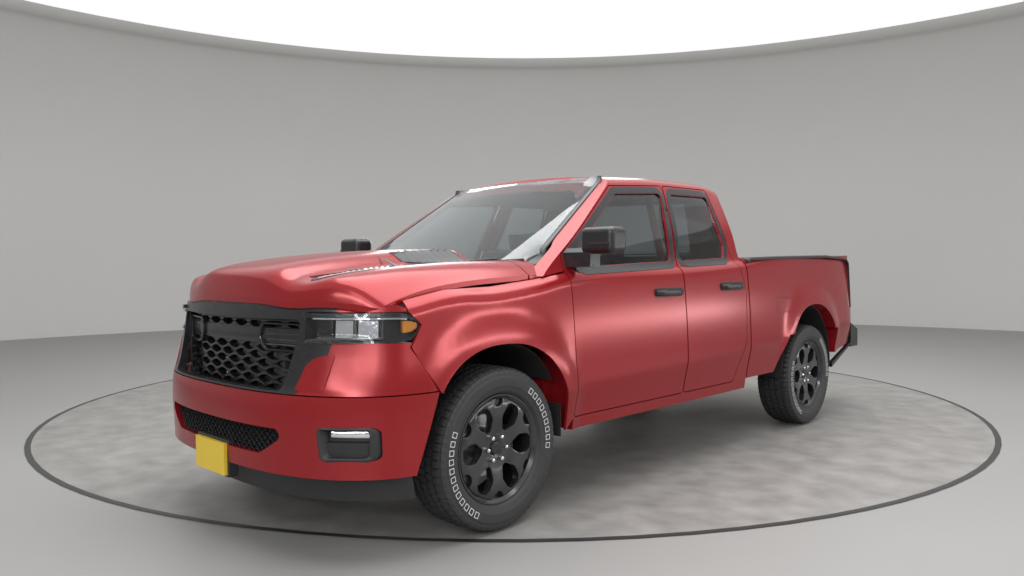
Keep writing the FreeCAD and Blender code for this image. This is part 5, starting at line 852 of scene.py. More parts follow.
opening = rounded_outline([(-0.552, 0.716), (0.552, 0.716), (0.596, 1.072), (-0.596, 1.072)], 0.035, 7)
dense = []
for index in range(len(opening)):
    a, b = opening[index], opening[(index + 1) % len(opening)]
    steps = max(1, int(np.linalg.norm(b - a) / 0.04))
    dense += [a + (b - a) * step / steps for step in range(steps)]
rim_piece("grille_rim", dense, -0.012, 0.014, -0.006, 0.030, "black_gloss")
path = [(x, nose_y(x) + 0.022, 0.9885) for x in np.linspace(-0.585, 0.585, 90)]
sweep("grille_cross_bar", path, ((-0.02, -0.038), (0.004, -0.036), (0.009, -0.028), (0.011, 0.0),
                                 (0.009, 0.028), (0.004, 0.036), (-0.02, 0.038)),
      "truck_body", "satin_black")
for label, side in SIDES:
    corners = [(0.335, 0.925), (0.560, 0.925), (0.575, 1.048), (0.315, 1.048), (0.290, 0.985)]
    outline = rounded_outline(corners, 0.028, 6)
    rim_piece("grille_bezel_" + label, outline, -0.010, 0.010, 0.000, 0.034, "black_gloss", side=side)
    for slat in range(4):
        level = 0.948 + slat * 0.0255
        path = [(x, nose_y(x) + 0.016, level) for x in np.linspace(0.312, 0.566, 20)]
        sweep(f"bezel_slat_{slat}_{label}", path, ((-0.016, -0.003), (0.004, -0.0045), (0.006, 0.0),
                                                   (0.002, 0.005), (-0.016, 0.003)),
              "truck_body", "black_gloss", side=side)
print("grille trim ready")

# %% [markdown]
# A headlamp is a clear cover over a dark bowl with lamp units in it. All the depth that the eye sees lies
# behind the cover, so the cover is a thin shell that follows the CAD lamp, and the bowl is the same grid of
# points pushed inwards. Units, a light strip and an amber corner sit between the two.

# %% Headlamps
LAMP_SKIN = skin_of(["headlamps"])
LAMP_PLAN = smooth_line([(0.628, -2.760), (0.74, -2.722), (0.84, -2.655), (0.915, -2.56), (0.962, -2.46),
                         (0.980, -2.385)], 33)
LAMP_AHEAD = np.gradient(LAMP_PLAN, axis=0)
LAMP_AHEAD /= np.linalg.norm(LAMP_AHEAD, axis=1)[:, None]


def lamp_point(share, height_share, deep=0.0):
    """A place on the lamp's face, deep below it; shares run outwards and upwards."""
    station = share * (len(LAMP_PLAN) - 1)
    x = np.interp(station, range(len(LAMP_PLAN)), LAMP_PLAN[:, 0])
    y = np.interp(station, range(len(LAMP_PLAN)), LAMP_PLAN[:, 1])
    ax = np.interp(station, range(len(LAMP_PLAN)), LAMP_AHEAD[:, 0])
    ay = np.interp(station, range(len(LAMP_PLAN)), LAMP_AHEAD[:, 1])
    out = Vector((ay * -1.0, ax * 1.0, 0.0)).normalized()
    if out.y > 0 or out.x < 0:
        out = -out
    low = float(np.interp(share, (0, 0.25, 0.8, 0.93, 1), (0.9745, 0.9725, 0.9735, 0.987, 1.030)))
    high = float(np.interp(share, (0, 0.8, 0.93, 1), (1.1035, 1.1035, 1.095, 1.062)))
    z = low + (high - low) * height_share
    start = Vector((x, y, z)) + out * 0.4
    place, _, _, _ = LAMP_SKIN.ray_cast(start, -out)
    if place is None:
        place = Vector((x, y, z))
    return place - out * deep


def lamp_grid(first, last, low, high, deep, columns=26, rows=7):
    return [[lamp_point(first + (last - first) * column / (columns - 1),
                        low + (high - low) * row / (rows - 1), deep)
             for column in range(columns)] for row in range(rows)]


for label, side in SIDES:
    cover = slab_piece("lamp_cover_" + label, lamp_grid(0, 1, 0, 1, 0.0), lamp_grid(0, 1, 0, 1, 0.003),
                       "truck_body", "lamp_lens", side)
    if side > 0:
        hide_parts("headlamps")
    slab_piece("lamp_bowl_" + label, lamp_grid(0, 1, 0, 1, 0.052), lamp_grid(0, 1, 0, 1, 0.060),
               "truck_body", "black_gloss", side)
    slab_piece("lamp_brow_" + label, lamp_grid(0.0, 0.97, 0.84, 1.0, 0.005),
               lamp_grid(0.0, 0.97, 0.84, 1.0, 0.050), "truck_body", "satin_black", side)
    slab_piece("lamp_floor_" + label, lamp_grid(0.0, 0.97, 0.0, 0.05, 0.005),
               lamp_grid(0.0, 0.97, 0.0, 0.05, 0.050), "truck_body", "black_gloss", side)
    slab_piece("lamp_strip_" + label, lamp_grid(0.05, 0.90, 0.775, 0.83, 0.012),
               lamp_grid(0.05, 0.90, 0.775, 0.83, 0.040), "truck_body", "reflector", side)
    for unit, (first, last) in enumerate(((0.27, 0.44), (0.49, 0.66))):
        slab_piece(f"lamp_unit_{unit}_{label}", lamp_grid(first, last, 0.16, 0.74, 0.028, 8, 4),
                   lamp_grid(first + 0.01, last - 0.01, 0.2, 0.7, 0.051, 8, 4), "truck_body",
                   "reflector", side)
        frame_front = lamp_grid(first - 0.02, last + 0.02, 0.10, 0.16, 0.018, 8, 2)
        frame_back = lamp_grid(first - 0.02, last + 0.02, 0.10, 0.16, 0.051, 8, 2)
        slab_piece(f"lamp_unit_sill_{unit}_{label}", frame_front, frame_back, "truck_body",
                   "satin_black", side)
    for wall, share in enumerate((0.24, 0.465, 0.69)):
        slab_piece(f"lamp_wall_{wall}_{label}",
                   lamp_grid(share - 0.012, share + 0.012, 0.1, 0.76, 0.020, 2, 4),
                   lamp_grid(share - 0.012, share + 0.012, 0.1, 0.76, 0.051, 2, 4), "truck_body",
                   "satin_black", side)
    slab_piece("lamp_amber_" + label, lamp_grid(0.86, 0.985, 0.28, 0.72, 0.012, 8, 5),
               lamp_grid(0.86, 0.985, 0.28, 0.72, 0.040, 8, 5), "truck_body", "amber_lens",
               side)
print("headlamps ready")

# %% [markdown]
# The lower intake has a finer mesh of the same kind. Beside it, each fog lamp sits in a black cup that is
# rounded at its corners, with a strip of light under the upper edge and a lip below. The frame makes the
# black surround of the grille too wide beside the lamps, so a thin red cover narrows it there.

# %% Lower intake, fog lamps and dam
def bumper_y(x, z):
    return float(on_front(x, z)[1])


BUMPER_PLAN = [(x, bumper_y(x, 0.64)) for x in np.linspace(0, 0.98, 40)]


def bumper_face(x, z=0.6):
    across, along = zip(*BUMPER_PLAN)
    return float(np.interp(abs(x), across, along))


def intake_half(z):
    return float(np.interp(z, (0.46, 0.50, 0.60), (0.46, 0.60, 0.66)))


mesh = wavy_bars("lower_mesh", 0.470, 0.596, intake_half, 0.0180, 0.040, 0.0038, 0.030, 0.012,
                 "satin_black", count=230, reach=bumper_face)
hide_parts("lower_grille")
backing = [[(x, bumper_face(x) + deep, z) for x in np.linspace(-0.68, 0.68, 30)]
           for z, deep in ((0.448, 0.058), (0.53, 0.062), (0.604, 0.058))]
slab_piece("lower_mesh_backing", backing, [[(x, y + 0.006, z) for x, y, z in row] for row in backing],
           "truck_body", "soft_black")
cup = rounded_outline([(0.762, 0.468), (0.938, 0.468), (0.938, 0.612), (0.745, 0.612)], 0.030, 6)
for label, side in SIDES:
    rim_piece("fog_rim_" + label, cup, -0.014, 0.006, -0.003, 0.050, "grained_black",
              reach=bumper_face, side=side)
    rows = [[(x, bumper_face(x) + deep, z) for x in np.linspace(0.745, 0.940, 10)]
            for z, deep in ((0.466, 0.030), (0.520, 0.024), (0.545, 0.020), (0.549, 0.046), (0.614, 0.050))]
    slab_piece("fog_cup_" + label, rows, [[(x, y + 0.01, z) for x, y, z in row] for row in rows],
               "truck_body", "grained_black", side)
    rows = [[(x, bumper_face(x) + deep, z) for x in np.linspace(0.790, 0.925, 12)]
            for z, deep in ((0.566, 0.026), (0.572, 0.020), (0.592, 0.020), (0.598, 0.026))]
    slab_piece("fog_strip_" + label, rows, [[(x, y + 0.02, z) for x, y, z in row] for row in rows],
               "truck_body", "reflector", side)
bracket = rounded_outline([(-0.168, 0.308), (0.168, 0.308), (0.168, 0.486), (-0.168, 0.486)], 0.012, 4)
points = [(x, y, z) for y in (-2.8895, -2.842) for x, z in bracket]
holder = new_piece("plate_bracket", points, ring_faces(2, len(bracket), capped=True), "truck_body",
                   "grained_black")
soften(holder, 0.003)
for index, (x, z) in enumerate(((-0.1, 0.345), (0.1, 0.345), (-0.1, 0.447), (0.1, 0.447))):
    points, faces = turned([(0.0, 0.0001), (0.003, 0.0001), (0.0028, 0.004), (0.0, 0.0055)], 12)
    points = [(x + b, -2.9066 + 0.0006 - a * 0.6 + 0.001, z + c) for a, b, c in points]
    new_piece(f"plate_screw_{index}", points, faces, "truck_body", "cast_iron")
rows = []
for z, inset in ((0.405, 0.075), (0.345, 0.105), (0.262, 0.120)):
    rows.append([(x * (1 - inset * 0.35), bumper_face(x) + inset + 0.012 * abs(x) ** 3,
                  z - 0.012 * (1 - abs(x))) for x in np.linspace(-0.985, 0.985, 60)])
dam = slab_piece("chin", rows, [[(x, y + 0.010, z) for x, y, z in row] for row in rows],
                 "truck_body", "grained_black")
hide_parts("air_dam")
for label, side in SIDES:
    cheek = rounded_outline([(0.626, 0.764), (0.760, 0.764), (0.780, 0.925), (0.735, 0.918),
                             (0.690, 0.905), (0.655, 0.872)], 0.012, 4)
    patch("nose_cheek_" + label, cheek, 4, 0.0030, on_front, "truck_body", "red_paint", side)
print("intake, fog lamps and dam ready")

# %% [markdown]
# Black trim runs round the side windows and along the belt. Its line is the outline of the glass, moved
# outwards on to the door's frame, so each strip stays on its own door when that door opens.

# %% Window trim
def outline_of(node, step=0.03):
    """The outline of a pane seen from the side, as evenly spaced (y, z) places going round."""
    spots = sorted({(round(v.co.y, 4), round(v.co.z, 4)) for v in nodes[node].data.vertices})
    chain = []
    for run in (spots, spots[::-1]):
        part = []
        for spot in run:
            while len(part) > 1 and ((part[-1][0] - part[-2][0]) * (spot[1] - part[-2][1])
                                     - (part[-1][1] - part[-2][1]) * (spot[0] - part[-2][0])) <= 0:
                part.pop()
            part.append(spot)
        chain += part[:-1]
    chain.append(chain[0])
    reach = sum(math.dist(a, b) for a, b in zip(chain, chain[1:]))
    return straight_line(chain, int(reach / step) + 1)[:-1]


def moved_out(outline, distance):
    ahead = np.roll(outline, -1, 0) - np.roll(outline, 1, 0)
    ahead /= np.linalg.norm(ahead, axis=1)[:, None]
    return outline + np.stack([ahead[:, 1], -ahead[:, 0]], 1) * distance


DOOR_SKIN = {name: skin_of([f"door_{name}_left"]) for name in ("front", "rear")}


def on_door(name):
    def place_on(y, z, lift=0.0):
        place, normal = hit(DOOR_SKIN[name], (2.2, y, z), (-1, 0, 0))
        return place + normal * lift
    return place_on


for name in ("front", "rear"):
    frame_line = moved_out(outline_of(f"glass_{name}_left"), 0.0245)
    for label, side in SIDES:
        band(f"window_trim_{name}_{label}", frame_line, 0.044, 0.0035, on_door(name),
             f"door_{name}_{label}", "satin_black", side, closed=True,
             shares=(-1.0, -0.94, 0, 0.94, 1.0), rise=(-1.0, 0.8, 1, 0.8, -1.0))
print("window trim ready")


# %% Door handles
def handle_rings(first, last, low, high, where):
    """A pull bar that leaves the skin at one end and returns at the other."""
    points, count = [], 12
    stations = 15
    for index in range(stations):
        share = index / (stations - 1)
        bow = max(0.0, 1 - abs(2 * share - 1) ** 5)
        y = first + (last - first) * share
        middle = (low + high) / 2
        skin = where(y, middle)
        half = (high - low) / 2 * (0.72 + 0.28 * bow)
        out = 0.004 + 0.030 * bow
        for corner in range(count):
            turn = 2 * math.pi * corner / count
            across = math.copysign(abs(math.cos(turn)) ** 0.6, math.cos(turn))
            up = math.copysign(abs(math.sin(turn)) ** 0.6, math.sin(turn))
            points.append((skin.x + out + 0.0085 * across, y, middle + half * up))
    return points, ring_faces(stations, count, capped=True)


for name, first, last, low, high in (("front", -0.568, -0.272, 1.117, 1.159),
                                     ("rear", 0.221, 0.513, 1.136, 1.180)):
    for label, side in SIDES:
        points, faces = handle_rings(first, last, low, high, on_door(name))
        points = [(x * side, y, z) for x, y, z in points]
        new_piece(f"handle_{name}_{label}", points, facing(faces, side), f"door_{name}_{label}",
                  "satin_black")
        plate = rounded_outline([(first - 0.006, low - 0.006), (last + 0.006, low - 0.006),
                                 (last + 0.006, high + 0.006), (first - 0.006, high + 0.006)], 0.016, 5)
        patch(f"handle_plate_{name}_{label}", plate, 3, 0.0025, on_door(name), f"door_{name}_{label}",
              "grained_black", side)
print("handles ready")

# %% [markdown]
# The mirror heads, the fuel door's seam, the mud flaps and the rail caps are small pieces, but each is a
# dark line on a red body, so the eye misses them at once when they are absent.

# %% Mirror glasses, fuel door, flaps and rail caps
for label, side in SIDES:
    glass = rounded_outline([(1.058, 1.390), (1.228, 1.386), (1.232, 1.492), (1.058, 1.492)], 0.020, 6)
    rows = [(side * x, -1.1870 + 0.0005, z) for x, z in glass] + [(side * x, -1.1835, z) for x, z in glass]
    faces = ring_faces(2, len(glass), capped=True)
    new_piece("mirror_glass_" + label, rows, facing([face[::-1] for face in faces], side),
              f"door_front_{label}", "chrome")
    rows = [[(x, -1.330 + deep, z) for x in np.linspace(1.10, 1.236, 8)]
            for z, deep in ((1.405, -0.0012), (1.412, -0.0035), (1.424, -0.0035), (1.431, -0.0012))]
    slab_piece("mirror_lamp_" + label, rows, [[(x, y + 0.01, z) for x, y, z in row] for row in rows],
               f"door_front_{label}", "satin_black", side)
    front = [[(x, AXLE + 0.452, z) for x in (0.800, 0.90, 0.990)] for z in (0.395, 0.48, 0.570)]
    slab_piece("mud_flap_" + label, front, [[(x, y + 0.006, z) for x, y, z in row] for row in front],
               "truck_body", "soft_black", side)
    spine = []
    for y in np.linspace(0.640, 2.555, 40):
        spine.append((0.962, y, on_top(0.962, y).z))
    section = ((-0.034, -0.006), (-0.034, 0.004), (-0.026, 0.009), (0.018, 0.009), (0.027, 0.004),
               (0.029, -0.012))
    points = [(side * (x + across), y, z + up) for x, y, z in spine for across, up in section]
    faces = ring_faces(len(spine), len(section), capped=True)
    new_piece("rail_cap_" + label, points, facing(faces, side), "truck_body", "grained_black")
seam = rounded_outline([(1.032, 0.944), (1.315, 0.944), (1.315, 1.052), (1.032, 1.052)], 0.050, 8)
band("fuel_door_seam", seam, 0.0042, 0.0006, on_side, "truck_body", "soft_black",
     closed=True)
print("side pieces ready")

# %% [markdown]
# The windscreen is a large pane with a printed black border that hides its glue. The CAD pane runs on under
# the pillars, so a pane that ends at the pillar takes its place, with the border as a thin sheet behind it.

# %% Windscreen
SCREEN_SKIN = skin_of(["windscreen"])


def screen_at(share, height, behind=0.0):
    """A place on the windscreen: share runs across from -1 to 1, height is in metres."""
    half = float(np.interp(height, (1.272, 1.872), (0.812, 0.655)))
    x = half * share
    place, _, _, _ = SCREEN_SKIN.ray_cast(Vector((x, -4.0, height)), Vector((0, 1, 0)))
    if place is None:
        place, _, _, _ = SCREEN_SKIN.find_nearest(Vector((x, -1.892 + 0.2 + 0.1 * (x / 0.768) ** 2
                                                          + (height - 1.25) * 1.6, height)))
    return Vector((x, place.y + behind * 1.9, height))


def screen_grid(first, last, low, high, behind, columns, rows):
    return [[screen_at(first + (last - first) * column / (columns - 1),
                       low + (high - low) * row / (rows - 1), behind)
             for column in range(columns)] for row in range(rows)]


LOW, HIGH = 1.276, 1.868
pane = slab_piece("windscreen_pane", screen_grid(-1, 1, LOW, HIGH, 0.0005, 33, 17),
                  screen_grid(-1, 1, LOW, HIGH, 0.0050, 33, 17), "truck_body", "screen_glass")
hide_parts("windscreen")
for part, (first, last, low, high, columns, rows) in {
        "low": (-1, 1, LOW, LOW + 0.042, 33, 3), "high": (-1, 1, HIGH - 0.030, HIGH, 33, 3),
        "left": (0.945, 1, LOW + 0.042, HIGH - 0.030, 3, 17),
        "right": (-1, -0.945, LOW + 0.042, HIGH - 0.030, 3, 17)}.items():
    slab_piece("screen_border_" + part, screen_grid(first, last, low, high, 0.0056, columns, rows),
               screen_grid(first, last, low, high, 0.0070, columns, rows), "truck_body", "soft_black")
for label, side in SIDES:
    edge = [[screen_at(side * share, height, lift) for height in np.linspace(LOW, HIGH, 20)]
            for share, lift in ((0.992, -0.0012), (1.000, -0.0040), (1.022, -0.0040), (1.03, -0.0005))]
    back = [[Vector((p.x, p.y + 0.014, p.z)) for p in row] for row in edge]
    slab_piece("screen_moulding_" + label, edge, back, "truck_body", "satin_black")
print("windscreen ready")


# %% Wipers
def rod(name, line, wide, high, body, finish):
    """A flat rod along a line of points."""
    line = smooth_line(line, 24)
    ahead = np.gradient(line, axis=0)
    ahead /= np.linalg.norm(ahead, axis=1)[:, None]
    points = []
    for place, way in zip(line, ahead):
        aside = np.cross(way, (0, 0, 1))
        aside /= np.linalg.norm(aside)
        up = np.cross(aside, way)
        for across, lift in ((-1, -1), (1, -1), (1, 0.4), (0.5, 1), (-0.5, 1), (-1, 0.4)):
            points.append(place + aside * wide / 2 * across + up * high / 2 * lift)
    return new_piece(name, points, ring_faces(24, 6, capped=True), body, finish)


for index, (foot, tip) in enumerate(((-0.02, 0.60), (-0.66, -0.06))):
    ends = []
    for share, height in ((foot, 1.290), (foot * 0.6 + tip * 0.4, 1.325), (tip, 1.345)):
        place = screen_at(share / 0.8, height, -0.016)
        ends.append((place.x, place.y, place.z))
    rod(f"wiper_arm_{index}", ends, 0.016, 0.010, "truck_body", "satin_black")
    blade = []
    for share, height in ((foot + 0.10, 1.302), ((foot + tip) / 2 + 0.08, 1.322), (tip + 0.16, 1.342)):
        place = screen_at(min(share / 0.8, 0.97), height, -0.008)
        blade.append((place.x, place.y, place.z))
    rod(f"wiper_blade_{index}", blade, 0.010, 0.012, "truck_body", "soft_black")
print("wipers ready")

# %% [markdown]
# Two pairs of vents sit in the hood. The outer ones are slim leaves with fine slats, the inner ones are wide
# black scoops with heavier slats. Each slat is a small wedge that rises towards the screen, so it stays
# visible from the low camera.

# %% Hood vents
def louvres(name, outline_at, first, last, count, rise, deep, finish, side):
    """Wedge slats across a vent between two places along the hood."""
    points, faces = [], []
    for index in range(count):
        y = first + (last - first) * (index + 0.5) / count
        inner, outer = outline_at(y)
        if outer - inner < 0.012:
            continue
        start = len(points)
        stations = np.linspace(inner, outer, 8)
        for x in stations:
            skin = on_top(x, y)
            fade = min(1.0, (min(x - inner, outer - x) + 0.004) / 0.016)
            points += [(side * x, y - deep / 2, skin.z - 0.002), (side * x, y + deep / 2, skin.z - 0.002),
                       (side * x, y + deep / 2, skin.z + rise * fade),
                       (side * x, y + deep / 2 - 0.004, skin.z + rise * fade)]
        slat = ring_faces(8, 4, capped=True)
        faces += [tuple(start + corner for corner in face) for face in facing(slat, -side)]
    return new_piece(name, points, faces, "hood", finish, smooth=20)


def leaf_at(y):
    share = (y + 2.668) / 0.559
    wide = 0.062 * math.sin(math.pi * min(max(share, 0), 1)) ** 0.7
    middle = 0.556 - 0.02 * share
    return middle - wide, middle + wide * 0.8


def scoop_at(y):
    share = (y + 2.052) / 0.43
    inner = 0.300 + 0.02 * (1 - share)
    outer = 0.420 + 0.085 * share
    return inner, outer


for label, side in SIDES:
    louvres("vent_slats_" + label, leaf_at, -2.640, -2.130, 16, 0.0085, 0.020, "cast_alloy", side)
    louvres("scoop_slats_" + label, scoop_at, -2.040, -1.640, 8, 0.018, 0.030, "satin_black", side)
    for part, edge_at, first, last, finish in (("leaf", leaf_at, -2.664, -2.112, "satin_black"),
                                               ("scoop", scoop_at, -2.052, -1.624, "grained_black")):
        stations = np.linspace(first, last, 26)
        loop = [(edge_at(y)[0], y) for y in stations] + [(edge_at(y)[1], y) for y in stations[::-1]]
        loop = straight_line(loop + loop[:1], 70)[:-1]
        band(f"vent_rim_{part}_{label}", loop, 0.010, 0.0045, on_top, "hood", finish,
             side, closed=True)
print("hood vents ready")

# %% [markdown]
# The wheel arches are dark inside, the bed has a ribbed floor, and the tailgate has a handle. These are
# pressed sheets, so each is a thin closed slab along a simple curve.

# %% Arch linings, bed floor and tailgate handle
ARCH_HALF, ARCH_HIGH, ARCH_FOOT, LINING_THICK = 0.455, 0.535, 0.435, 0.004
turns = np.linspace(-0.02, math.pi + 0.02, 40)
for label, side in SIDES:
    grids = [[[Vector((x, AXLE + WHEELBASE + (ARCH_HALF + grow) * math.cos(turn),
                       ARCH_FOOT + (ARCH_HIGH + grow) * math.sin(turn))) for turn in turns]
              for x in (0.735, 0.975)] for grow in (0.0, LINING_THICK)]
    slab_piece("arch_lining_rear_" + label, grids[0], grids[1], "truck_body", "soft_black",
               side)
rows = []
for y in (0.690, 1.20, 1.677, 2.10, 2.480):
    rows.append([Vector((x, y, 0.7965 + 0.004 * max(-1, min(1, 3 * math.sin(x * 2 * math.pi / 0.085)))))
                 for x in np.linspace(-0.630, 0.630, 241)])
slab_piece("bed_floor_ribs", rows, [[Vector((p.x, p.y, 0.7905)) for p in row] for row in rows],
           "truck_body", "bed_coating")
outline = rounded_outline([(-0.150, 1.235), (0.150, 1.235), (0.150, 1.310), (-0.150, 1.310)], 0.018, 5)
patch("gate_handle_plate", outline, 3, 0.003, on_rear, "tailgate", "grained_black", -1)
grip = [(x, 2.590, 1.272) for x in (-0.115, -0.06, 0.0, 0.06, 0.115)]
rod("gate_handle", grip, 0.030, 0.012, "tailgate", "satin_black")
print("linings and bed ready")

# %% [markdown]
# Seats are leather over foam. A box would look like a box, so each cushion starts as a finely divided block
# that is rounded, crowned on its face, pinched between its corners and pressed in along its sewn channels,
# and a subdivision surface then makes it smooth. A cloth simulation that inflates each cushion would give
# more natural folds at the seams. It was not done here for lack of time, so the folds are only suggested.

# %% Cushion forms
def cushion(name, centre, half, lean, crown, body, channels=(), seams=(0.66,), cuts=15):
    """A padded block; its crowned face is +Z before it leans back about X by an angle."""
    shape = bmesh.new()
    bmesh.ops.create_cube(shape, size=2.0)
    bmesh.ops.subdivide_edges(shape, edges=shape.edges, cuts=cuts, use_grid_fill=True)
    turn = Matrix.Rotation(lean, 3, "X")
    for vertex in shape.verts:
        p = vertex.co.copy()
        power = (abs(p.x) ** 6 + abs(p.y) ** 6 + abs(p.z) ** 6) ** (1 / 6)
        round_share = 0.86 + 0.14 / max(power, 1e-6) if power > 1 else 1.0
        q = Vector((p.x, p.y, p.z)) * round_share
        top = max(0.0, q.z)
        pull = 0.035 * (1 - q.y ** 2) if abs(q.x) > 0.5 else 0.0
        x = q.x * (1 - pull) * half[0]
        y = q.y * (1 - 0.03 * (1 - q.x ** 2)) * half[1]
        z = q.z * half[2] + crown * top * (1 - q.x ** 2) * (1 - 0.6 * q.y ** 2)
        for seam in seams:
            z -= 0.009 * top * math.exp(-((abs(q.x) - seam) / 0.045) ** 2)
            if abs(q.x) > seam:
                z += 0.020 * top * math.sin(math.pi * min(1, (abs(q.x) - seam) / (1 - seam)))
        for channel in channels:
            if abs(q.x) < (seams[0] if seams else 1):
                z -= 0.008 * top * math.exp(-((q.y - channel) / 0.05) ** 2)
        vertex.co = turn @ Vector((x, y, z)) + Vector(centre)
    mesh = bpy.data.meshes.new(name)
    shape.to_mesh(mesh)
    shape.free()
    mesh.polygons.foreach_set("use_smooth", [True] * len(mesh.polygons))
    mesh.materials.append(finish_of("seat_leather"))
    piece = bpy.data.objects.new(name, mesh)
    bpy.context.scene.collection.objects.link(piece)
    smooth = piece.modifiers.new("smooth leather", "SUBSURF")
    smooth.levels = smooth.render_levels = 1
    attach(piece, body)
    return piece


def plinth(name, x, half, front, rear, low, high):
    outline = rounded_outline([(front + 0.03, low), (rear - 0.02, low), (rear - 0.01, high), (front, high)],
                              0.02, 4)
    points = [(x + across, y, z) for across in (-half, half) for y, z in outline]
    piece = new_piece(name, points, ring_faces(2, len(outline), capped=True), "truck_body", "dash_plastic")
    return soften(piece, 0.008)


for label, side in SIDES:
    x = 0.385 * side
    seat = cushion(f"seat_cushion_{label}", (x, -0.655, 0.870), (0.240, 0.245, 0.062), 0.07, 0.016,
                   "truck_body", (-0.5, 0.0, 0.5))
    cushion(f"seat_back_{label}", (x, -0.345, 1.165), (0.232, 0.270, 0.058), math.radians(-75.0) + math.pi,
            0.016, "truck_body", (-0.45, 0.0, 0.45))
    cushion(f"head_rest_{label}", (x, -0.262, 1.490), (0.120, 0.062, 0.045), math.radians(-80.0) + math.pi,
            0.008, "truck_body", (), (), cuts=9)
    plinth(f"seat_plinth_{label}", x, 0.200, -0.880, -0.420, 0.622, 0.812)
    for post in (-0.05, 0.05):
        rod(f"head_rest_post_{label}_{'a' if post < 0 else 'b'}",
            [(x + post, -0.292, 1.395), (x + post, -0.278, 1.43), (x + post, -0.266, 1.465)],
            0.011, 0.011, "truck_body", "chrome")
    if side > 0:
        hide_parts("front_seats")
bench = cushion("bench_cushion", (0.0, 0.195, 0.885), (0.670, 0.215, 0.058), 0.06, 0.016, "truck_body",
                (-0.4, 0.3), (0.34, 0.90), cuts=19)
cushion("bench_back", (0.0, 0.425, 1.155), (0.670, 0.235, 0.050), math.radians(-79.0) + math.pi, 0.014,
        "truck_body", (-0.4, 0.2), (0.34, 0.90), cuts=19)
plinth("bench_plinth", 0.0, 0.640, 0.000, 0.400, 0.622, 0.830)
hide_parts("rear_seat")
print("seats ready")

# %% [markdown]
# The cab's shell is one painted body, so every surface inside it would be red. Door cards, a roof lining and
# a carpet cover what the glass and the open doors let one see, and the dashboard gets a screen and vents.

# %% Linings of the cab
for name, first, last in (("front", -1.285, -0.275), ("rear", -0.195, 0.395)):
    for label, side in SIDES:
        rows = []
        for z, x in ((0.560, 0.878), (0.640, 0.868), (0.900, 0.862), (0.930, 0.828), (0.990, 0.826),
                     (1.015, 0.858), (1.255, 0.862)):
            shift = 0.06 * (z - 0.56) if name == "rear" else 0.0
            rows.append([Vector((x, y, z)) for y in np.linspace(first, last + shift, 12)])
        slab_piece(f"door_card_{name}_{label}", rows,
                   [[Vector((0.8795, p.y, p.z)) for p in row] for row in rows],
                   f"door_{name}_{label}", "dash_plastic", side, smooth=25)
        grip = [(side * 0.838, (first + last) / 2 + shift_y, 0.972 + lift) for shift_y, lift in
                ((-0.12, 0.0), (-0.09, 0.022), (0.0, 0.026), (0.09, 0.022), (0.12, 0.0))]
        rod(f"door_pull_{name}_{label}", grip, 0.022, 0.018, f"door_{name}_{label}", "dash_trim")
rows = []
for y in np.linspace(-0.790, 0.480, 9):
    rows.append([Vector((x, y, 1.822 - 0.055 * abs(x / 0.56) ** 2.6 - 0.02 * ((y + 0.15) / 0.64) ** 2))
                 for x in np.linspace(-0.56, 0.56, 25)])
slab_piece("roof_lining", rows, [[Vector((p.x, p.y, p.z + 0.006)) for p in row] for row in rows],
           "truck_body", "roof_lining")
across = [(-0.855, 0.6215), (-0.215, 0.6215), (-0.210, 0.785), (0.210, 0.785), (0.215, 0.6215),
          (0.855, 0.6215)]
rows = [[Vector((x, y, z)) for x, z in across] for y in (-1.395, -0.9, -0.232)]
slab_piece("carpet_front", rows, [[Vector((p.x, p.y, p.z + 0.007)) for p in row] for row in rows],
           "truck_body", "carpet")
rows = [[Vector((x, y, 0.6215)) for x in (-0.855, 0.0, 0.855)] for y in (-0.225, 0.5)]
slab_piece("carpet_rear", rows, [[Vector((p.x, p.y, p.z + 0.007)) for p in row] for row in rows],
           "truck_body", "carpet")
screen = rounded_outline([(-0.105, 0.965), (0.105, 0.965), (0.105, 1.185), (-0.105, 1.185)], 0.012, 4)
points = [(x, y, z) for y in (-0.970, -0.986) for x, z in screen]
new_piece("dash_screen", points, [face[::-1] for face in ring_faces(2, len(screen), capped=True)],
          "truck_body", "dark_screen", smooth=30)
for index, x in enumerate((-0.66, -0.20, 0.20, 0.66)):
    for slat in range(3):
        rod(f"dash_vent_{index}_{slat}", [(x - 0.05, -0.980, 1.045 + slat * 0.015),
                                          (x, -0.979, 1.045 + slat * 0.015),
                                          (x + 0.05, -0.980, 1.045 + slat * 0.015)], 0.012, 0.004,
            "truck_body", "dash_trim")
print("cab linings ready")

# %% [markdown]
# The studio is a pale round room with a stone disc in its floor and a thin dark ring round the disc. The
# light comes from a wide soft ceiling panel and two weaker ones. Three long narrow strips are there for their
# reflections: each draws a bright line on the flank or the hood. White seen by the camera and by glossy paint
# comes from the world behind, not from stronger lamps.

# %% Floor and backdrop
def stage_piece(name, points, faces, material):
    mesh = bpy.data.meshes.new(name)
    mesh.from_pydata(points, [], faces)
    mesh.polygons.foreach_set("use_smooth", [True] * len(mesh.polygons))
    mesh.materials.append(material)
    piece = bpy.data.objects.new(name, mesh)
    bpy.context.scene.collection.objects.link(piece)
    return piece


